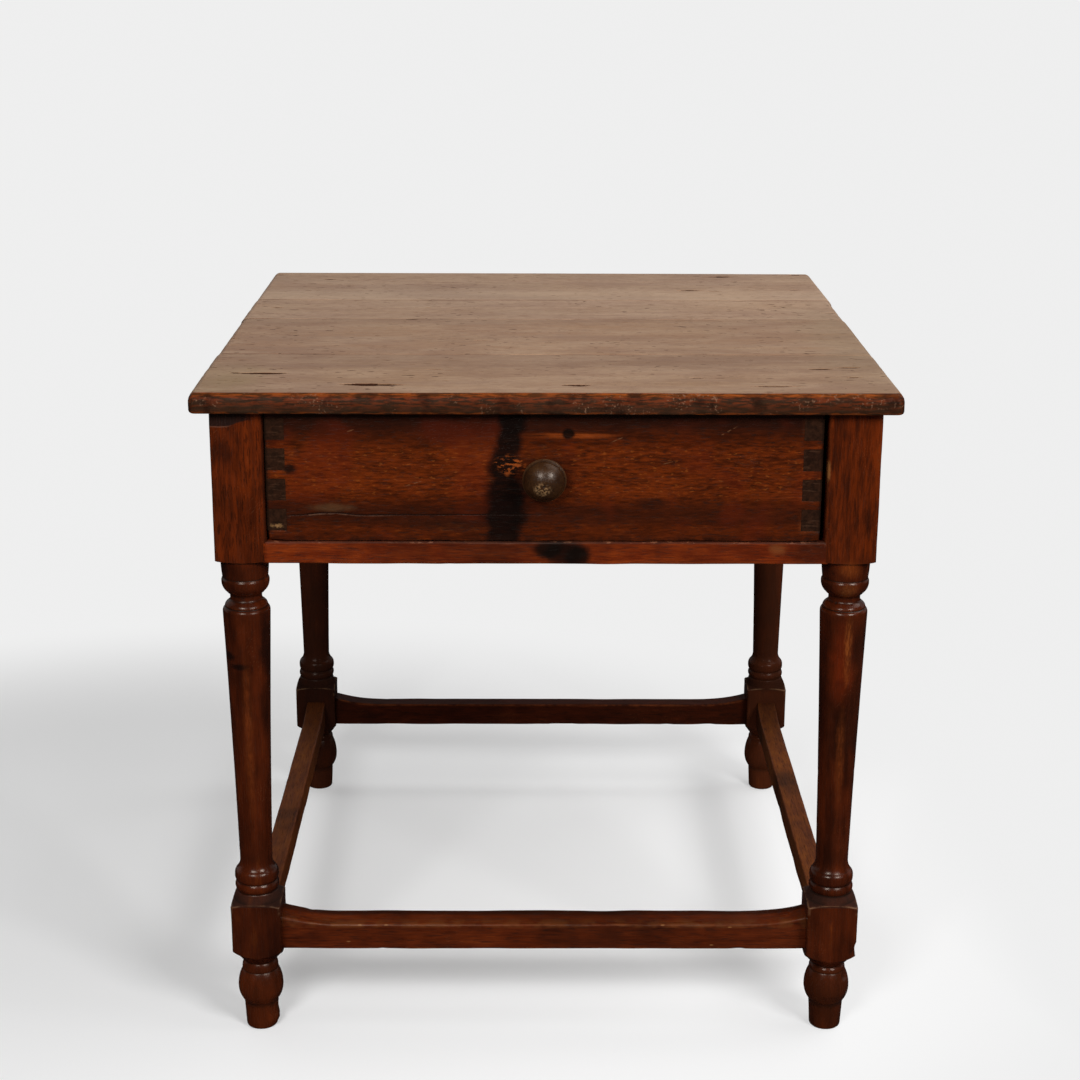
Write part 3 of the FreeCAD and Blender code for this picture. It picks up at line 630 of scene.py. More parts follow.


# the top's pale greyish tones hold painted sheen as well as the wood's own colour
topLook = dict(
    woodLook, waver=0.007, broad=(3.0, 16.0), streak=(9.0, 70.0), fibre=(34.0, 420.0), mottle=(60.0, 130.0),
    tones=fourTones("86664c", "98765a", "a88262", "b49474"),
    contrast=1.3, gloss=0.3, glint="fff4ea", dark="5a3c28", cloudDepth=0.12, poreDepth=0.3, rub=0.0,
    dirt=0.3, scratch=0.2, scratched="84644e", rough=0.28, bump=0.3,
)
# each board's own middle tone, and how much earlier it is reached
topTints = {
    "top_board_front": ("7e5c40", 0.02),
    "top_board_mid_front": ("946c4c", 0.03),
    "top_board_mid_back": ("b6947a", 0.03),
    "top_board_back": ("b29076", 0.03),
}
edgeFinish = {"gloss": 0.03, "rough": 0.36}


def makeTop():
    names = topSettings["nodes"]
    for index, node in enumerate(names):
        tone, lift = topTints[node]
        look = dict(topLook, tones=topLook["tones"][:2] + [(0.6 - lift, tone), topLook["tones"][3]])
        material = woodMaterial(node + "Wood", look, topMarks)
        mesh, dull = topBoard(node, index == 0, index == len(names) - 1)
        finishPiece(camel(node), mesh, "root", "top_wood", material, node)
        mesh.materials.append(woodMaterial(node + "EdgeWood", dict(look, **edgeFinish), topMarks))
        mesh.polygons.foreach_set("material_index", dull)
    print("top boards ready")


def camel(node):
    first, *rest = node.split("_")
    return first + "".join(word.capitalize() for word in rest)


# Turned pieces: an outline carried round an axis and cut off by the faces of the square stock.

def turnedTree():
    tree = bpy.data.node_groups.new("turnedStick", "GeometryNodeTree")
    for name, kind in (
        ("Outline", "NodeSocketObject"), ("Rows", "NodeSocketInt"), ("Columns", "NodeSocketInt"),
        ("Place", "NodeSocketVector"), ("Half Width", "NodeSocketFloat"), ("Worn Corner", "NodeSocketFloat"),
        ("Unevenness", "NodeSocketFloat"), ("Seed", "NodeSocketFloat"), ("Finish", "NodeSocketMaterial"),
    ):
        tree.interface.new_socket(name, in_out="INPUT", socket_type=kind)
    tree.interface.new_socket("Geometry", in_out="OUTPUT", socket_type="NodeSocketGeometry")
    g = Graph(tree)
    given = g.node("NodeGroupInput").socket.node
    want = {output.name: Socket(g, output) for output in given.outputs}
    sheet = g.node("GeometryNodeMeshGrid", {
        "Size X": 1.0, "Size Y": 1.0, "Vertices X": want["Columns"], "Vertices Y": want["Rows"],
    })
    across, up, unused = g.split(g.node("GeometryNodeInputPosition"))
    turn = (across + 0.5) * (2.0 * math.pi)
    angle = turn + g.maths("SINE", turn * 4.0) * 0.18      # columns crowd towards the corners of the square
    row = g.maths("ROUND", (up + 0.5) * (want["Rows"] - 1.0))
    outline = g.node("GeometryNodeObjectInfo", {"Object": want["Outline"]}, out="Geometry")
    place = g.node("GeometryNodeSampleIndex", {
        "Geometry": outline, "Value": g.node("GeometryNodeInputPosition"), "Index": row,
    }, data_type="FLOAT_VECTOR", domain="POINT")
    turned, unused, height = g.split(place)
    cosine = g.maths("COSINE", angle)
    sine = g.maths("SINE", angle)
    a = abs(cosine)
    b = abs(sine)
    longer = g.maths("MAXIMUM", a, b)
    shorter = g.maths("MINIMUM", a, b)
    spot = g.vector("ADD", g.join(cosine * 0.03, sine * 0.03, height), want["Place"])
    spot = g.vector("ADD", spot, g.join(want["Seed"], want["Seed"], 0.0))
    corner = want["Worn Corner"] * (0.5 + g.noise(spot, 22.0, 3.0) * 1.3)
    inner = want["Half Width"] - corner
    reach = inner * (a + b)
    within = g.maths("MAXIMUM", reach * reach - inner * inner * 2.0 + corner * corner, 0.0)
    curved = reach + g.maths("SQRT", within)
    flat = want["Half Width"] / longer
    onFlat = g.maths("LESS_THAN", want["Half Width"] * shorter / longer, inner)
    square = flat * onFlat + curved * (1.0 - onFlat)
    radius = g.maths("SMOOTH_MIN", turned, square, 0.0016)
    dips = g.fade(g.noise(spot, 75.0, 2.0), 0.62, 0.8)
    worn = want["Unevenness"] * (g.noise(spot, 14.0, 2.0) + dips * 1.2)
    radius = g.maths("MAXIMUM", radius - worn * g.fade(radius, 0.0, 0.012), 0.0)
    around = g.vector("ADD", g.join(radius * cosine, radius * sine, height), want["Place"])
    moved = g.node("GeometryNodeSetPosition", {"Geometry": sheet, "Position": around})
    closed = g.node("GeometryNodeMergeByDistance", {"Geometry": moved, "Distance": 0.00002})
    smooth = g.node("GeometryNodeSetShadeSmooth", {"Geometry": closed})
    real = g.node("GeometryNodeRealizeInstances", {"Geometry": smooth})
    done = g.node("GeometryNodeSetMaterial", {"Geometry": real, "Material": want["Finish"]})
    g.node("NodeGroupOutput", {0: done})
    return tree


def outlineObject(name, steps, gap):
    # steps run from the top down: radius, height and how far the line to there bulges out
    curveGap = 0.0013            # between rows where the line bulges
    longLine = 0.1               # the post and the tapered shaft are longer than this
    longRows = 60
    places = [steps[0][:2]]
    for (r0, z0, unused), (r1, z1, bulge) in zip(steps, steps[1:]):
        length = math.hypot(r1 - r0, z1 - z0)
        across = ((z0 - z1) / length, (r1 - r0) / length)
        count = max(1, math.ceil(length / gap)) if not bulge else max(5, math.ceil(length / curveGap))
        if length > longLine:
            count = longRows
        for k in range(1, count + 1):
            t = k / count
            swell = bulge * 4.0 * t * (1.0 - t)
            places.append((r0 + (r1 - r0) * t + across[0] * swell, z0 + (z1 - z0) * t + across[1] * swell))
    mesh = bpy.data.meshes.new(name)
    mesh.from_pydata([(r, 0.0, z) for r, z in places[::-1]], [(k, k + 1) for k in range(len(places) - 1)], [])
    return addObject(name, mesh)


def grow(tree, name, inputs):
    # runs a geometry tree on an empty mesh and keeps the plain result
    carrier = addObject(name + "Carrier", bpy.data.meshes.new(name))
    modifier = carrier.modifiers.new(name, "NODES")
    modifier.node_group = tree
    sockets = {item.name: item.identifier for item in tree.interface.items_tree if item.in_out == "INPUT"}
    for label, value in inputs.items():
        modifier[sockets[label]] = value
    bpy.context.view_layer.update()
    made = bpy.data.meshes.new_from_object(carrier.evaluated_get(bpy.context.evaluated_depsgraph_get()))
    bpy.data.objects.remove(carrier)
    made.name = name
    return made


legSettings = {
    "nodes": ["leg_front_left", "leg_front_right", "leg_back_left", "leg_back_right"],
    "halfWidth": 0.028,
    "wornCorner": 0.0028,
    "unevenness": 0.0005,
    "columns": 97,
    "gap": 0.006,
    "seedStep": 2.3,
    # where the turner set rings lower on one leg than on the others: from, to and by how much
    "lowered": {
        "leg_front_left": [(0.0745, 0.0765, 0.0042)],
        "leg_front_right": [(0.166, 0.200, 0.0016), (0.068, 0.110, 0.0040)],
    },
    # where wood stands proud or has broken away: place from the leg's foot, reach, and how far it is moved
    "knocks": {
        "leg_front_left": [((-0.028, 0.000, 0.128), (0.020, 0.070, 0.060), -0.0013),
                           ((0.017, -0.008, 0.012), (0.016, 0.020, 0.009), 0.0024),
                           ((-0.010, -0.020, 0.026), (0.014, 0.014, 0.010), -0.0010)],
        "leg_front_right": [((0.028, -0.028, 0.104), (0.010, 0.014, 0.009), -0.0026),
                            ((0.022, -0.014, 0.066), (0.010, 0.012, 0.007), -0.0014),
                            ((0.000, -0.020, 0.040), (0.014, 0.012, 0.006), -0.0008)],
        "leg_back_left": [((-0.028, 0.028, 0.150), (0.012, 0.014, 0.010), -0.0024),
                          ((0.028, 0.010, 0.128), (0.020, 0.070, 0.060), -0.0022)],
        "leg_back_right": [((0.028, 0.028, 0.108), (0.012, 0.014, 0.012), -0.0024),
                           ((-0.028, 0.010, 0.128), (0.020, 0.070, 0.060), -0.0022)],
    },
    "stain": "100806",
    # stains: place, reach and how strong
    "stains": [
        ((-0.335, -0.353, 0.6720), (0.014, 0.03, 0.016), 0.45),
        ((-0.342, -0.340, 0.5420), (0.010, 0.05, 0.016), 0.7),
        ((-0.296, -0.345, 0.4550), (0.010, 0.03, 0.050), 0.75),
        ((-0.300, -0.345, 0.3900), (0.008, 0.03, 0.040), 0.5),
        ((-0.338, -0.345, 0.4470), (0.009, 0.03, 0.006), 0.8),
        ((-0.326, -0.350, 0.4360), (0.011, 0.03, 0.0045), 0.85),
        ((0.3150, -0.350, 0.4200), (0.006, 0.03, 0.007), 0.7),
    ],
    # paler places: place, reach, colour, how strong, and how far flecks break them up
    "paler": [
        ((0.3160, -0.350, 0.4400), (0.016, 0.02, 0.060), "6e2408", 0.55, 0.2),
        ((0.3220, -0.350, 0.4570), (0.0055, 0.02, 0.048), "8a4a1e", 0.55, 0.7),
        ((0.3200, -0.350, 0.5480), (0.013, 0.02, 0.012), "7e3c14", 0.6, 0.5),
        ((0.3190, -0.350, 0.5230), (0.013, 0.02, 0.010), "74401c", 0.5, 0.5),
        ((-0.3190, -0.350, 0.3500), (0.007, 0.02, 0.110), "8a4218", 0.3, 0.5),
        ((0.3190, -0.350, 0.3300), (0.006, 0.02, 0.080), "8a4218", 0.3, 0.5),
    ],
    # radius, height and bulge, from the top of the post down to the floor
    "outline": [
        (0.0, 0.718, 0), (0.042, 0.718, 0), (0.042, 0.557, 0), (0.0260, 0.5535, 0.0005),
        (0.0247, 0.5340, 0.00025), (0.0241, 0.5324, 0), (0.0258, 0.5278, 0.00055), (0.0204, 0.5162, 0.0015),
        (0.01995, 0.5154, 0), (0.0172, 0.5103, -0.001), (0.02005, 0.5052, -0.001), (0.0205, 0.50475, 0),
        (0.0232, 0.5002, 0.0006), (0.02265, 0.49975, 0), (0.0232, 0.4993, 0), (0.0256, 0.4948, 0.0006),
        (0.0256, 0.4922, 0), (0.0180, 0.2054, -0.00065), (0.02125, 0.19525, -0.0009), (0.0217, 0.1948, 0),
        (0.0244, 0.1874, 0.0009), (0.0236, 0.1818, 0.0004), (0.0224, 0.1806, 0), (0.0229, 0.1797, 0),
        (0.0229, 0.1698, 0.0018), (0.0226, 0.1688, 0), (0.0242, 0.1678, 0), (0.0277, 0.1593, 0),
        (0.042, 0.1545, 0.0005), (0.042, 0.1072, 0), (0.0285, 0.0945, 0.0014), (0.0176, 0.0822, 0.0003),
        (0.0203, 0.0760, 0.0010), (0.0199, 0.0755, 0), (0.0203, 0.0750, 0), (0.0254, 0.0500, 0.00134),
        (0.0199, 0.0330, 0.00141), (0.0193, 0.0324, 0), (0.0177, 0.0030, 0), (0.0147, 0.0, 0.00088),
        (0.0, 0.0, 0),
    ],
}

# painted shade in the gaps beside the drawer: x of its middle, and how far from there its ends and the posts
# darken
drawerMiddle = -0.002
drawerShade = (0.2850, 0.2875)
postShade = (0.2900, 0.2940)

legLook = dict(
    woodLook, grainAxis=2, broad=(4.0, 34.0), streak=(9.0, 90.0), fibre=(22.0, 420.0), mottle=(20.0, 60.0),
    shares=(0.34, 0.16, 0.14, 0.36), contrast=1.3, poreDepth=0.12, rub=0.15,
    tones=fourTones("150703", "301005", "4c1c08", "824010"),
    rough=0.22, gloss=0.25, bump=0.1, scratch=0.1,
)


def legMarks(g, point, surface, grains):
    x, y, z = g.split(point)
    colour = surface["colour"]
    shadedRear = g.fade(y, 0.2, 0.25)
    right = g.fade(x, -0.1, 0.1)
    post = g.fade(z, 0.545, 0.565) * (1.0 - shadedRear)
    warm = g.fade(grain(g, point, 2, 30.0, 260.0, 4.0, 4.8), 0.36, 0.66)
    colour = g.tint(colour, post * (0.06 + warm * 0.3), "7e2e06")
    low = g.below(z, 0.066, 0.092)
    colour = g.tint(colour, low * 0.12, "6e3418")
    darkLines = g.fade(grain(g, point, 2, 70.0, 620.0, 2.0, 7.7), 0.53, 0.63)
    colour = g.tint(colour, darkLines * (0.1 + post * (0.42 - g.fade(x, 0.0, 0.1) * 0.2)), "160804")
    # painted shade on the posts beside the drawer's gaps
    gap = post * g.below(abs(x - drawerMiddle), *postShade)
    colour = g.tint(colour, gap * 0.7, "0a0504")
    patches = g.fade(g.noise(point, 11.0, 3.0), 0.5, 0.66)
    colour = g.tint(colour, patches * 0.4, "1a0a05")
    # painted shade on the back legs, with their right sides browner
    colour = g.tint(colour, shadedRear * (1.0 - right * 0.6) * 0.6, "2a1912")
    colour = g.tint(colour, shadedRear * right * 0.35, "4c2818")
    # where the shaft flares out to the block
    flare = g.band(z, 0.1560, 0.1580, 0.1675, 0.1685)
    colour = g.tint(colour, flare * 0.6, "1c0a04")
    surface["rough"] = surface["rough"] + flare * 0.65
    arris = attributeOf(g, "ridge") * g.band(z, 0.146, 0.150, 0.158, 0.160)
    colour = g.tint(colour, arris * g.fade(g.noise(point, 90.0, 3.0), 0.36, 0.56) * 0.5, "7a5a40")
    nearBlock = g.band(z, 0.085, 0.10, 0.155, 0.165) * g.below(x, 0.0, 0.1)
    colour = g.tint(colour, nearBlock * 0.35, "170906")
    for place, reach, depth in legSettings["stains"]:
        spot = blotch(g, point, place, reach, 0.4, 60.0, 0.4)
        colour = g.tint(colour, spot * depth, legSettings["stain"])
    # a stain with a pale lower line at the top of the left post
    brink = z - g.fade(x, -0.332, -0.306) * 0.006 - (g.noise(point, 60.0, 3.0) - 0.5) * 0.002
    stained = g.fade(brink, 0.7008, 0.7024) * g.below(x, -0.312, -0.298) * g.below(y, -0.34, -0.33)
    colour = g.tint(colour, stained * 0.85, "1a1412")
    paleLine = g.below(abs(brink - 0.7010), 0.0003, 0.0009) * g.below(x, -0.330, -0.322)
    colour = g.tint(colour, paleLine * g.below(y, -0.34, -0.33) * 0.35, "6e4e3e")
    flecks = g.fade(grain(g, point, 2, 110.0, 620.0, 3.0, 2.9), 0.46, 0.60)
    for place, reach, tone, depth, broken in legSettings["paler"]:
        lit = blotch(g, point, place, reach, 0.5, 50.0, 0.1) * (1.0 - broken + flecks * broken)
        colour = g.tint(colour, lit * depth, tone)
    worn = blotch(g, point, (0.2925, -0.353, 0.6540), (0.0022, 0.03, 0.014), 0.6, 200.0, 0.3)
    surface["colour"] = g.tint(colour, worn * 0.6, "8a5a30")


def knock(mesh, foot, places):
    # dents and bumps, pushed towards or away from the leg's middle line
    points = pointsOf(mesh)
    outward = (points - foot) * (1.0, 1.0, 0.0)
    outward /= np.maximum(np.linalg.norm(outward, axis=1), 1e-6)[:, None]
    for place, reach, amount in places:
        near = ease(-np.linalg.norm((points - foot - place) / reach, axis=1), -1.0, -0.4)
        rough = 1.0 + min(0.35, 0.0045 / max(reach)) * softNoise(points, 0.004, 17)
        points += outward * (near * rough * amount)[:, None]
    mesh.vertices.foreach_set("co", points.ravel())


def makeLegs(tree):
    s = legSettings
    frontWood = woodMaterial("legWood", legLook, legMarks)
    backWood = woodMaterial("backLegWood", dict(legLook, gloss=0.06), legMarks)
    for number, node in enumerate(s["nodes"]):
        material = backWood if "back" in node else frontWood
        steps = s["outline"]
        for start, end, drop in s["lowered"].get(node, []):
            steps = [(r, z - drop if start < z < end else z, bulge) for r, z, bulge in steps]
        outline = outlineObject("legOutline", steps, s["gap"])
        low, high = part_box(node)
        foot = ((low.x + high.x) / 2.0, (low.y + high.y) / 2.0, low.z)
        mesh = grow(tree, camel(node), {
            "Outline": outline, "Rows": len(outline.data.vertices), "Columns": s["columns"],
            "Place": foot, "Half Width": s["halfWidth"],
            "Worn Corner": s["wornCorner"], "Unevenness": s["unevenness"], "Seed": s["seedStep"] * number,
            "Finish": material,
        })
        knock(mesh, foot, s["knocks"][node])
        markWear(mesh)
        finishPiece(camel(node), mesh, "root", "frame_wood", material, node)
        bpy.data.objects.remove(outline)
    print("legs ready")


knobSettings = {
    "node": "drawer_knob",
    "columns": 81,
    "halfWidth": 0.1,            # far outside, so nothing is cut square
    "wornCorner": 0.001,
    "unevenness": 0.0004,
    "gap": 0.0025,
    "seed": 5.0,
    "chipPlace": (-0.002, -0.034, -0.006),
    "chipReach": (0.011, 0.012, 0.009),
    "chipDepth": 0.0009,
    # radius, distance out from the drawer front and bulge
    "outline": [
        (0.0, 0.037, 0), (0.0206, 0.0255, 0.0029), (0.0206, 0.0230, 0), (0.0222, 0.0180, 0.0016),
        (0.0096, 0.0065, 0.0015), (0.0106, 0.0035, -0.0003), (0.0140, 0.0027, 0), (0.0140, 0.0, 0),
        (0.0080, 0.0, 0), (0.0080, -0.022, 0), (0.0, -0.022, 0),
    ],
}


def makeKnob(tree):
    s = knobSettings
    outline = outlineObject("knobOutline", s["outline"], s["gap"])
    low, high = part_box(s["node"])
    centre = Vector(((low.x + high.x) / 2.0, low.y + s["outline"][0][1], (low.z + high.z) / 2.0))
    material = woodMaterial("knobWood", knobLook, knobMarks)
    mesh = grow(tree, "drawerKnob", {
        "Outline": outline, "Rows": len(outline.data.vertices), "Columns": s["columns"],
        "Place": (0.0, 0.0, 0.0), "Half Width": s["halfWidth"], "Worn Corner": s["wornCorner"],
        "Unevenness": s["unevenness"], "Seed": s["seed"], "Finish": material,
    })
    mesh.transform(Matrix.Translation(centre) @ Matrix.Rotation(math.pi / 2.0, 4, "X"))
    points = pointsOf(mesh)
    chipped = centre + Vector(s["chipPlace"])
    patch = ease(-np.linalg.norm((points - chipped) / s["chipReach"], axis=1), -1.0, -0.5)
    points[:, 1] += patch * s["chipDepth"] * ease(softNoise(points, 0.0024, 3), -0.2, 0.6)
    mesh.vertices.foreach_set("co", points.ravel())
    markWear(mesh)
    store(mesh, "chipped", patch)
    finishPiece("drawerKnob", mesh, "drawer", "knob_wood", material, s["node"])
    bpy.data.objects.remove(outline)
    print("knob ready")


knobLook = dict(
    woodLook, grainAxis=1, broad=(30.0, 60.0), streak=(60.0, 220.0), fibre=(150.0, 700.0),
    tones=fourTones("190c06", "2e190b", "3e2510", "523014"),
    worn="6b4a30", rough=0.31, scratch=0.2, gloss=0.34,
)


def knobMarks(g, point, surface, grains):
    chipped = attributeOf(g, "chipped") * g.fade(g.noise(point, 420.0, 3.0), 0.45, 0.6)
    surface["colour"] = g.tint(surface["colour"], chipped * 0.7, "94724e")
    surface["rough"] = surface["rough"] - chipped * 0.16
    surface["height"] = surface["height"] + attributeOf(g, "chipped") * g.noise(point, 500.0, 3.0) * 3.0


# Bars: the rail and the four stretchers, which rise in a hollow run-out at each end.

barSettings = {
    "drawer_rail": {"along": 0, "rise": 0.0, "radius": 0.0022},
    "stretcher_front": {"along": 0, "rise": 0.009, "radius": 0.0024, "backHeight": 0.006},
    "stretcher_back": {"along": 0, "rise": 0.009, "radius": 0.0024},
    "stretcher_left": {"along": 1, "rise": 0.009, "radius": 0.0026},
    "stretcher_right": {"along": 1, "rise": 0.009, "radius": 0.0026},
}
barShape = {
    "runout": 0.062,
    "intoLeg": 0.0045,
    "hidden": (0.0055, 0.0115),  # from where to where wear fades in: the ends are hidden in the legs
    "gap": 0.005,
    "crossGap": 0.004,
    "fineLines": 16,
    "rimLines": (0.0007, 0.0016, 0.0028, 0.0045),
    "leastRadius": 0.0004,
    "wornRadius": 0.0022,
    "waver": 0.00022,
}


def makeBar(node):
    s = barSettings[node]
    along, across = s["along"], 1 - s["along"]
    low, high = (np.array(corner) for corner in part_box(node))
    half = legSettings["halfWidth"]
    axis = [legAxis(along, end) for end in (0, 1)]
    low[along] = axis[0] + half - barShape["intoLeg"]
    high[along] = axis[1] - half + barShape["intoLeg"]
    rise = s["rise"]
    high[2] -= rise + s.get("backHeight", 0.0)
    near = barShape["rimLines"]
    gap = barShape["crossGap"]
    fine = tuple(gap * (k + 1) for k in range(barShape["fineLines"])) if rise else ()
    lines = [None, None, gridLines(low[2], high[2], gap, near, near)]
    lines[along] = gridLines(low[along], high[along], barShape["gap"], fine, fine)
    lines[across] = gridLines(low[across], high[across], gap, near, near)
    points, faces = boxSkin(*lines)
    radius = s["radius"] * (0.75 + 0.5 * softNoise(points, 0.035, 21)) + barShape["leastRadius"]
    radius += barShape["wornRadius"] * ease(softNoise(points, 0.02, 23), 0.5, 0.9)
    past = 0.05 * np.eye(3)[along]                       # leaves the ends square
    shaped = roundOff(points, low - past, high + past, radius)
    shaped[:, along] = points[:, along]
    if rise:
        middle = (low[along] + high[along]) / 2.0
        reach = (high[along] - low[along]) / 2.0 - barShape["intoLeg"]
        runout = barShape["runout"]
        into = np.clip(np.abs(shaped[:, along] - middle) - (reach - runout), 0.0, runout)
        curve = (runout ** 2 + rise ** 2) / (2.0 * rise)
        lift = curve - np.sqrt(curve ** 2 - into ** 2)
        back = (shaped[:, across] - low[across]) / (high[across] - low[across])
        lift = lift + s.get("backHeight", 0.0) * back
        shaped[:, 2] += lift * (shaped[:, 2] - low[2]) / (high[2] - low[2])
    centre = (low + high) / 2.0
    inward = np.sign(centre - points) * (1.0 - np.eye(3)[along])
    shaped += inward * (barShape["waver"] * (1.0 + softNoise(shaped, 0.03, 25)))[:, None]
    mesh = meshFrom(node, shaped, faces)
    room = np.minimum(points - low, high - points)[:, along]
    markWear(mesh, keep=ease(room, *barShape["hidden"]))
    return mesh


def legAxis(along, end):
    # middle of the legs at one end, along x or y
    middles = [(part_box(leg)[0][along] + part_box(leg)[1][along]) / 2.0 for leg in legSettings["nodes"]]
    return max(middles) if end else min(middles)


barLook = dict(
    woodLook, contrast=1.3, tones=fourTones("1e0a04", "3f1506", "5a2209", "864014"),
    gloss=0.24, rough=0.3, scratch=0.12,
)
railLook = dict(
    barLook, tones=fourTones("300f05", "5c1e07", "80320a", "a85818"), fibre=(50.0, 700.0),
)
# a darker copy of the bars' finish: painted shade for the back stretcher
backBarLook = dict(
    barLook, tones=fourTones("140704", "280e06", "3a1508", "58280f"), gloss=0.03, rough=0.5,
)
sideBarLook = dict(
    barLook, grainAxis=1, tones=fourTones("2c1206", "4e230c", "693610", "8c541a"),
    rough=0.5, gloss=0.08,
)


def makeBars():
    sideWood = woodMaterial("sideStretcherWood", sideBarLook, sideBarMarks)
    woods = {
        "drawer_rail": woodMaterial("railWood", railLook, railMarks),
        "stretcher_front": woodMaterial("frontStretcherWood", barLook, stretcherMarks),
        "stretcher_back": woodMaterial("backStretcherWood", backBarLook),
        "stretcher_left": sideWood,
        "stretcher_right": sideWood,
    }
    for node in barSettings:
        finishPiece(camel(node), makeBar(node), "root", "frame_wood", woods[node], node)
    print("rail and stretchers ready")


def sideBarMarks(g, point, surface, grains):
    x, y, z = g.split(point)
    # painted shade towards the back legs
    surface["colour"] = g.tint(surface["colour"], g.fade(y, 0.12, 0.33) * 0.6, "1c0c07")


railSettings = {                 # places as x, z and reach along x and z
    "stain": "0c0705",
    "stains": [
        (0.0020, 0.570, 0.020, 0.010), (0.0200, 0.566, 0.028, 0.016), (0.0330, 0.562, 0.016, 0.016),
    ],
    "pale": (0.2430, 0.570, 0.012, 0.008),
    "dark": (0.2750, 0.566, 0.026, 0.016),
}
frontFace = -0.353               # y at which marks on the rail and the drawer front are centred


def faceBlotch(g, point, spot, ragged, size, core, deep=0.03):
    # a stain on an upright front, from its x, z and reach along x and z
    x, z, reachX, reachZ = spot
    return blotch(g, point, (x, frontFace, z), (reachX, deep, reachZ), ragged, size, core)


def railMarks(g, point, surface, grains):
    x, y, z = g.split(point)
    colour = surface["colour"]
    for spot in railSettings["stains"]:
        colour = g.tint(colour, faceBlotch(g, point, spot, 0.35, 55.0, 0.5) * 0.9, railSettings["stain"])
    pale = faceBlotch(g, point, railSettings["pale"], 0.6, 90.0, 0.1, deep=0.02)
    colour = g.tint(colour, pale * 0.4, "7a4a26")
    dark = faceBlotch(g, point, railSettings["dark"], 0.3, 60.0, 0.4)
    colour = g.tint(colour, dark * 0.6, "240d06")
    arris = g.fade(z, 0.5755, 0.5775) * g.below(y, -0.3505, -0.3480)
    chips = g.fade(grain(g, point, 0, 90.0, 240.0, 3.0, 4.0), 0.58, 0.66)
    colour = g.tint(colour, arris * chips * 0.45, "74503a")
    surface["colour"] = g.tint(colour, arris * (1.0 - chips) * 0.6, "1c0c07")
    surface["rough"] = surface["rough"] + arris * (0.5 - chips * 0.3)


# x and z of pale scratches
stretcherFlecks = [
    (-0.205, 0.128), (-0.176, 0.128), (-0.218, 0.108), (0.132, 0.128), (0.187, 0.104), (0.207, 0.126),
]


def stretcherMarks(g, point, surface, grains):
    x, y, z = g.split(point)
    colour = surface["colour"]
    ridge = g.fade(attributeOf(g, "ridge"), 0.1, 0.5) * g.below(y, -0.3350, -0.3290)
    rubbed = g.fade(g.noise(point, 40.0, 3.0), 0.46, 0.62)
    colour = g.tint(colour, ridge * rubbed * 0.30, "7a4420")
    strip = g.below(y, -0.3350, -0.3240) * g.fade(z, 0.1235, 0.1265)
    colour = g.tint(colour, strip * g.fade(g.noise(point, 55.0, 4.0), 0.40, 0.62) * 0.4, "643a1c")
    behind = g.fade(y, -0.3240, -0.3180) * g.fade(z, 0.1280, 0.1300)
    colour = g.tint(colour, behind * 0.7, "170a06")
    for fleckX, fleckZ in stretcherFlecks:
        fleck = blotch(g, point, (fleckX, -0.338, fleckZ), (0.0026, 0.01, 0.0009), 0.4, 300.0, 0.4)
        colour = g.tint(colour, fleck * 0.55, "96683f")
    surface["colour"] = colour


# The drawer front, through-dovetailed to the drawer sides.

drawerSettings = {
    "node": "drawer_front",
    "arris": 0.0006,
    "gap": 0.006,
    "rimLines": (0.0012, 0.0022, 0.0036, 0.006),
    "depthLines": (0.0012, 0.0024, 0.005),
    "waver": 0.0002,
    "wornRadius": 0.0012,
    "wornSpots": [                # x, z, reach and radius of corners and edges worn further round
        (-0.290, 0.5795, 0.020, 0.0042), (0.286, 0.5795, 0.014, 0.0026), (-0.290, 0.7155, 0.010, 0.0022),
        (0.286, 0.7155, 0.012, 0.0024), (-0.120, 0.5795, 0.030, 0.0022), (0.160, 0.5795, 0.040, 0.0020),
    ],
    "scratches": [                # x and z of both ends
        (-0.2057, 0.6957, -0.1943, 0.6995), (-0.1462, 0.6382, -0.1276, 0.6440),
        (0.1779, 0.6919, 0.1976, 0.7030), (0.0657, 0.6850, 0.0797, 0.6909), (0.1200, 0.6620, 0.1350, 0.6660),
    ],
    # stains and other marks: x, z and reach along x and z
    "runs": [                     # one long stain down from the top
        (-0.0350, 0.7080, 0.0165, 0.022), (-0.0385, 0.6860, 0.0150, 0.026), (-0.0430, 0.6600, 0.0190, 0.028),
        (-0.0420, 0.6280, 0.0250, 0.032), (-0.0430, 0.6050, 0.0260, 0.026), (-0.0450, 0.5850, 0.0200, 0.022),
    ],
    # a painted shadow round the knob
    "shade": (-0.002, 0.650, 0.036, 0.034),
    "halo": (0.027, 0.6925, 0.052, 0.0040),
    "knot": (0.0228, 0.6941, 0.0074, 0.0064),
    "flakes": (-0.037, 0.661, 0.017, 0.011),
    "spots": [                    # with their colour and how strong they are
        ((-0.222, 0.6150, 0.026, 0.0055), "5c4028", 0.42),
        ((-0.266, 0.6565, 0.0095, 0.0070), "120b08", 0.9),
        ((-0.280, 0.5950, 0.006, 0.0030), "8a6444", 0.7),
        ((-0.100, 0.5960, 0.060, 0.0080), "1a0d08", 0.5),
        ((0.110, 0.6200, 0.020, 0.0070), "150b08", 0.6),
    ],
}


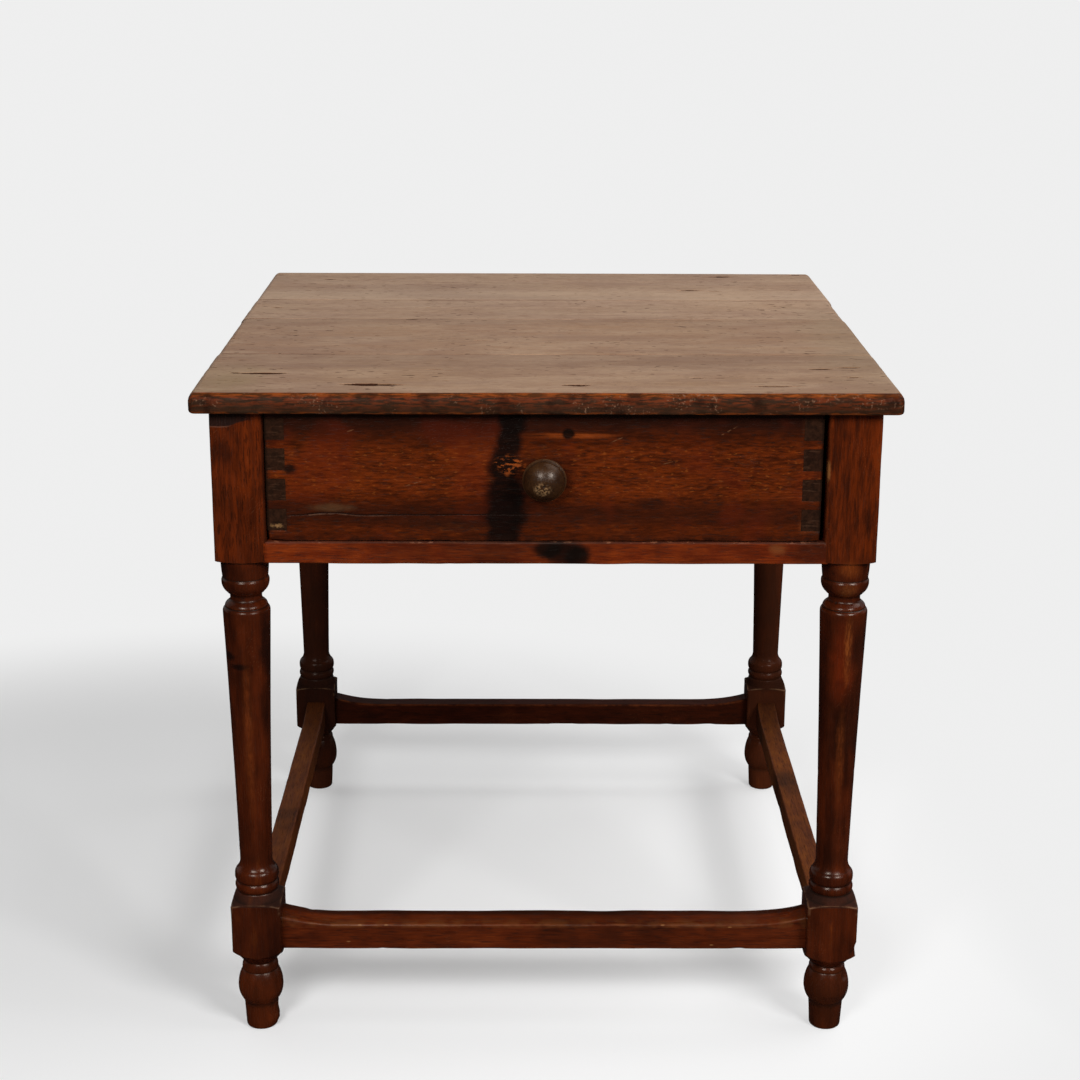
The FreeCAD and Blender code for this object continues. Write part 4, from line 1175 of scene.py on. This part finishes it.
def softened(node, arris, cuts):
    # merged copy of a CAD node with its edges taken off, cut by planes into a grid
    merged = 0.00001
    sharpAngle = 0.7
    work = bmesh.new()
    work.from_mesh(nodes[node].data)
    bmesh.ops.remove_doubles(work, verts=work.verts, dist=merged)
    bmesh.ops.dissolve_limit(work, angle_limit=0.02, verts=work.verts, edges=work.edges)
    sharp = [edge for edge in work.edges if len(edge.link_faces) == 2 and edge.calc_face_angle() > sharpAngle]
    bmesh.ops.bevel(
        work, geom=sharp, offset=arris, segments=2, profile=0.5, affect="EDGES", clamp_overlap=True,
    )
    for axis, places in enumerate(cuts):
        normal = [0.0, 0.0, 0.0]
        normal[axis] = 1.0
        for place in places:
            co = [0.0, 0.0, 0.0]
            co[axis] = place
            everything = work.verts[:] + work.edges[:] + work.faces[:]
            bmesh.ops.bisect_plane(work, geom=everything, plane_co=co, plane_no=normal, dist=merged)
    bmesh.ops.recalc_face_normals(work, faces=work.faces)
    mesh = bpy.data.meshes.new(node)
    work.to_mesh(mesh)
    work.free()
    mesh.shade_smooth()
    mesh.set_sharp_from_angle(angle=sharpAngle)
    return mesh


def makeDrawerFront():
    s = drawerSettings
    low, high = (np.array(corner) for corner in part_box(s["node"]))
    near = s["rimLines"]
    cuts = [
        gridLines(low[0], high[0], s["gap"], near, near)[1:-1],
        [low[1] + depth for depth in s["depthLines"]],
        gridLines(low[2], high[2], s["gap"], near, near)[1:-1],
    ]
    mesh = softened(s["node"], s["arris"], cuts)
    points = pointsOf(mesh)
    radius = s["wornRadius"] * (0.7 + 0.5 * softNoise(points, 0.03, 31))
    for x, z, reach, worn in s["wornSpots"]:
        far = np.hypot(points[:, 0] - x, points[:, 2] - z)
        radius = np.maximum(radius, worn * ease(-far, -reach, -reach * 0.3))
    back = high.copy()
    back[1] += 0.02
    points = roundOff(points, low, back, radius)
    onFace = points[:, 1] < low[1] + s["waver"]
    points[:, 1] += onFace * s["waver"] * (1.0 + softNoise(points * (0.3, 1.0, 1.0), 0.02, 33))
    mesh.vertices.foreach_set("co", points.ravel())
    store(mesh, "edge", edgeNearness(points, low, high))
    markWear(mesh, ridge=(150.0, 600.0), hollow=(100.0, 500.0))
    material = woodMaterial("drawerFrontWood", drawerLook, drawerMarks)
    finishPiece("drawerFront", mesh, "drawer", "drawer_front_wood", material, s["node"])
    print("drawer front ready")


def edgeNearness(points, low, high):
    room = np.minimum(points[:, [0, 2]] - low[[0, 2]], high[[0, 2]] - points[:, [0, 2]]).min(1)
    return 1.0 - ease(room, 0.0, 0.012)


drawerLook = dict(
    woodLook, broad=(3.0, 20.0), streak=(14.0, 190.0), fibre=(80.0, 460.0), mottle=(24.0, 80.0),
    shares=(0.26, 0.14, 0.38, 0.22), contrast=1.45, gloss=0.22, pore=(100.0, 520.0), poreDepth=0.45,
    tones=fourTones("1c0803", "381304", "511d05", "824010"),
    cloudScale=9.0, cloudDepth=0.35, scratch=0.0,
)


def drawerMarks(g, point, surface, grains):
    s = drawerSettings
    x, y, z = g.split(point)
    colour = surface["colour"]
    sway = (grains["broad"] - 0.5) * 0.02
    # a dark band along the top: dirt, and a painted shadow under the overhanging top
    upper = g.fade(z + sway, 0.684, 0.704)
    colour = g.tint(colour, upper * 0.82, "1e0c07")
    lower = g.band(z + sway, 0.592, 0.602, 0.612, 0.624)
    colour = g.tint(colour, lower * 0.55, "240e07")
    warm = g.band(z + sway, 0.618, 0.634, 0.672, 0.688)
    lit = grains["mottle"] * 0.2 + grains["broad"] * 0.35 + grains["fibre"] * 0.45
    colour = g.tint(colour, warm * g.fade(lit, 0.36, 0.62) * 0.42, "7a3009")
    flecks = g.fade(grain(g, point, 0, 130.0, 420.0, 2.0, 8.8), 0.60, 0.68)
    colour = g.tint(colour, warm * flecks * 0.32, "96501c")
    specks = g.fade(grain(g, point, 0, 110.0, 380.0, 2.0, 1.9), 0.60, 0.68)
    colour = g.tint(colour, specks * 0.4, "1c0a05")
    red = g.fade(g.noise(point, 13.0, 2.0), 0.5, 0.65)
    colour = g.tint(colour, red * 0.3, "5a1a09")
    # painted shadow round the knob
    shade = faceBlotch(g, point, s["shade"], 0.3, 50.0, 0.3, deep=0.05)
    colour = g.tint(colour, shade * 0.75, "130a07")
    stain = 0.0
    for spot in s["runs"]:
        stain = g.maths("MAXIMUM", stain, faceBlotch(g, point, spot, 0.28, 60.0, 0.55, deep=0.05))
    colour = g.tint(colour, stain * (0.99 - grains["fibre"] * 0.1), "0a0605")
    halo = faceBlotch(g, point, s["halo"], 0.35, 80.0, 0.1)
    colour = g.tint(colour, halo * g.fade(grains["streak"], 0.36, 0.56) * 0.7, "8c3e12")
    knot = faceBlotch(g, point, s["knot"], 0.2, 200.0, 0.6)
    colour = g.tint(colour, knot * 0.95, "0e0705")
    flakes = faceBlotch(g, point, s["flakes"], 0.6, 120.0, 0.5)
    flakes = flakes * g.fade(grain(g, point, 0, 120.0, 300.0, 3.0, 2.2), 0.50, 0.60)
    colour = g.tint(colour, flakes * 0.75, "96481a")
    marks = strokes(g, point, s["scratches"], 0.0007)
    colour = g.tint(colour, marks * 0.4, "80583a")
    for spot, tone, depth in s["spots"]:
        colour = g.tint(colour, faceBlotch(g, point, spot, 0.4, 70.0, 0.35) * depth, tone)
    # a long crack with a lit lower lip
    crackLine = z - 0.6080 - x * 0.004 - (g.noise(point, 40.0) - 0.5) * 0.0016
    crackLine = crackLine - g.band(x, -0.262, -0.228, -0.218, -0.190) * 0.0022
    crack = g.below(abs(crackLine), 0.0003, 0.0011)
    crack = crack * g.band(x, -0.272, -0.262, -0.03, 0.02)
    colour = g.tint(colour, crack * 0.8, "150a07")
    litLine = g.below(abs(crackLine + 0.0013), 0.0002, 0.0009)
    litLine = litLine * g.band(x, -0.272, -0.262, -0.24, -0.13)
    colour = g.tint(colour, litLine * g.fade(g.noise(point, 70.0, 3.0), 0.4, 0.6) * 0.45, "705240")
    # painted shade at the drawer front's ends, beside the gaps
    gap = g.fade(abs(x - drawerMiddle), *drawerShade)
    colour = g.tint(colour, gap * 0.8, "0a0504")
    edge = attributeOf(g, "edge")
    colour = g.tint(colour, edge * g.fade(g.noise(point, 60.0, 3.0), 0.35, 0.6) * 0.6, "1c0d08")
    surface["colour"] = colour
    surface["height"] = surface["height"] - crack * 2.5 - knot * 1.5


# Plain finishes for the pieces that keep their CAD shape.

innerLook = dict(
    woodLook, grainAxis=1, tones=[(0.28, "5a3d28"), (0.45, "7a5738"), (0.6, "906a47"), (0.78, "a88058")],
    broad=(2.0, 26.0), mottle=(7.0, 110.0), shares=(0.32, 0.26, 0.22, 0.20),
    dark="3a2618", worn="b08a60", grime="2e2016", rough=0.62, gloss=0.1, cloudDepth=0.35,
)
innerAcross = dict(innerLook, grainAxis=0)
apronLook = dict(legLook, grainAxis=1)


def sideMarks(g, point, surface, grains):
    # the ends of the drawer sides show as dark end grain in the drawer's front
    x, y, z = g.split(point)
    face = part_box("drawer_side_left")[0].y
    end = g.below(y, face + 0.0006, face + 0.002)
    endGrain = g.mix(g.fade(g.noise(point, 200.0, 4.0), 0.3, 0.7), paint("180c08"), paint("2c180f"))
    endGrain = g.tint(endGrain, g.fade(grain(g, point, 0, 60.0, 500.0, 2.0), 0.6, 0.68) * 0.4, "4a3224")
    chip = blotch(g, point, (-0.2800, face, 0.5955), (0.0080, 0.02, 0.0026), 1.3, 420.0, 0.0)
    endGrain = g.tint(endGrain, chip * 0.8, "8a6640")
    cracked = blotch(g, point, (-0.2795, face, 0.5990), (0.0075, 0.02, 0.0016), 0.5, 150.0, 0.3)
    endGrain = g.tint(endGrain, cracked * 0.8, "0c0604")
    # painted shade on the end grain beside the drawer's gaps
    endGrain = g.tint(endGrain, g.fade(abs(x - drawerMiddle), *drawerShade) * 0.8, "0a0504")
    surface["colour"] = g.mix(end * 0.98, surface["colour"], endGrain)
    surface["rough"] = surface["rough"] - end * 0.12


def ironMaterial():
    material = bpy.data.materials.new("nailIron")
    g = emptyGraph(material)
    point = g.node("ShaderNodeTexCoord", out="Object")
    rust = g.fade(g.noise(point, 900.0, 4.0), 0.42, 0.62)
    shader = g.node("ShaderNodeBsdfPrincipled", {
        "Base Color": g.mix(rust, paint("2b2623"), paint("4a2a1a")), "Metallic": 0.8 - rust * 0.7,
        "Roughness": 0.45 + rust * 0.35,
        "Normal": g.node("ShaderNodeBump", {
            "Strength": 0.4, "Distance": 0.0003, "Height": g.noise(point, 1500.0, 3.0),
        }),
    })
    g.node("ShaderNodeOutputMaterial", {"Surface": shader})
    return material


def dressCadNodes():
    apronSide = woodMaterial("sideApronWood", apronLook)
    apronBack = woodMaterial("backApronWood", dict(apronLook, grainAxis=0))
    inner = woodMaterial("innerWood", innerLook)
    innerCross = woodMaterial("innerCrossWood", innerAcross)
    drawerSide = woodMaterial("drawerSideWood", dict(innerLook, gloss=0.02), sideMarks)
    iron = ironMaterial()
    finishes = {
        "side_apron_left": apronSide, "side_apron_right": apronSide, "back_apron": apronBack,
        "drawer_runner_left": inner, "drawer_runner_right": inner,
        "drawer_guide_left": inner, "drawer_guide_right": inner,
        "drawer_stop_left": innerCross, "drawer_stop_right": innerCross,
        "drawer_side_left": drawerSide, "drawer_side_right": drawerSide, "drawer_back": innerCross,
        "drawer_bottom_front": innerCross, "drawer_bottom_back": innerCross,
        "top_nails": iron, "guide_nails": iron, "drawer_bottom_nails": iron,
    }
    for node, material in finishes.items():
        nodes[node].data.materials.clear()
        nodes[node].data.materials.append(material)
    print("inner pieces dressed")


# Floor, light and camera.

stageSettings = {
    "floorX": 30.0,              # half the floor's width
    "floorY": (-1.5, 60.0),      # its front and back
    "pale": 0.86,                # brightness of floor and background
    "ambient": 0.16,
    "ambientBehind": 0.42,
    "dim": 0.02,
    "mirrored": 0.35,            # brightness of the backdrop in reflections
    "floorTone": 0.3,            # what the floor throws back onto the table
    "shadowShare": 0.73,
    # glow near the table, left and right: dimmer on the left as painted shade on the floor
    "nearGlowAndShade": (0.74, 0.88),    # left and right of the table
    "lamps": [                   # place, aim, width, height and power
        ((-0.85, -2.55, 1.95), (0.0, -0.2, 0.45), 0.76, 0.68, 40.0),
        ((1.63, -2.35, 2.00), (0.0, -0.2, 0.45), 1.0, 0.85, 56.0),
        ((1.60, 0.20, 2.80), (0.0, 0.1, 0.6), 2.2, 2.2, 34.0),
    ],
}


def makeStage():
    s = stageSettings
    side = s["floorX"]
    front, back = s["floorY"]
    corners = [(-side, front, 0.0), (side, front, 0.0), (side, back, 0.0), (-side, back, 0.0)]
    mesh = bpy.data.meshes.new("floor")
    mesh.from_pydata(corners, [], [(0, 1, 2, 3)])
    floor = addObject("floor", mesh)
    material = bpy.data.materials.new("paleFloor")
    g = emptyGraph(material)
    x, y, z = g.split(g.node("ShaderNodeTexCoord", out="Object"))
    away = g.vector("LENGTH", g.join((x + 0.42) * 0.8, y - 0.1, 0.0), out="Value")
    far = g.maths("MAXIMUM", g.fade(away, 0.5, 1.0), g.fade(x, 0.36, 0.62))
    seen = g.node("ShaderNodeLightPath", out="Is Camera Ray")
    mirrored = g.node("ShaderNodeLightPath", out="Is Glossy Ray")
    tone = g.mix(seen, (s["floorTone"],) * 3 + (1.0,), (1.0, 1.0, 1.0, 1.0))
    tone = g.mix(mirrored, tone, (s["dim"],) * 3 + (1.0,))
    matte = g.node("ShaderNodeBsdfDiffuse", {"Color": tone})
    # the floor glows less on the left of the table: painted shade
    near = g.mix(g.fade(x, -0.6, -0.25), *((level,) * 3 + (1.0,) for level in s["nearGlowAndShade"]))
    glow = g.node("ShaderNodeEmission", {
        "Color": g.mix(far, near, (s["pale"],) * 3 + (1.0,)),
    })
    share = seen * (1.0 - s["shadowShare"] * (1.0 - far))
    surface = g.node("ShaderNodeMixShader", {0: share, 1: matte, 2: glow})
    g.node("ShaderNodeOutputMaterial", {"Surface": surface})
    mesh.materials.append(material)

    world = bpy.data.worlds.new("studio")
    bpy.context.scene.world = world
    g = emptyGraph(world)
    x, y, z = g.split(g.node("ShaderNodeTexCoord", out="Generated"))
    path = g.node("ShaderNodeLightPath").socket.node
    camera, glossy, through = (Socket(g, path.outputs[n]) for n in (
        "Is Camera Ray", "Is Glossy Ray", "Is Transmission Ray",
    ))
    behind = g.fade(y, -0.05, 0.35)
    mirrored = s["dim"] + (s["mirrored"] - s["dim"]) * behind
    plain = s["ambient"] + (s["ambientBehind"] - s["ambient"]) * behind
    level = plain + (mirrored - plain) * glossy
    level = level + (s["pale"] - level) * g.maths("MAXIMUM", camera, through)
    g.node("ShaderNodeOutputWorld", {"Surface": g.node("ShaderNodeBackground", {
        "Color": (1.0, 1.0, 1.0, 1.0), "Strength": level,
    })})

    for number, (place, aim, width, height, power) in enumerate(s["lamps"]):
        data = bpy.data.lights.new("softbox" + str(number + 1), "AREA")
        data.shape = "RECTANGLE"
        data.size = width
        data.size_y = height
        data.energy = power
        lamp = addObject(data.name, data)
        lamp.location = place
        lamp.rotation_euler = (Vector(aim) - Vector(place)).to_track_quat("-Z", "Y").to_euler()


cameraSettings = {
    "place": (-0.018036, -2.43285, 1.200537),
    "forward": (0.00548592, 0.95828194, -0.285772),
    "right": (0.99998326, -0.00473209, 0.00332836),
    "lens": 69.29,
}


def makeCamera():
    s = cameraSettings
    data = bpy.data.cameras.new("camera")
    data.lens = s["lens"]
    data.sensor_width = 36.0
    data.sensor_fit = "HORIZONTAL"
    forward = Vector(s["forward"]).normalized()
    right = Vector(s["right"]).normalized()
    up = right.cross(forward)
    camera = addObject("camera", data)
    camera.matrix_world = Matrix.Translation(s["place"]) @ Matrix((right, up, -forward)).transposed().to_4x4()
    bpy.context.scene.camera = camera


makeTop()
turned = turnedTree()
makeLegs(turned)
makeKnob(turned)
makeBars()
makeDrawerFront()
dressCadNodes()
makeStage()
makeCamera()
bpy.context.scene.view_settings.view_transform = "Standard"
print("scene ready")
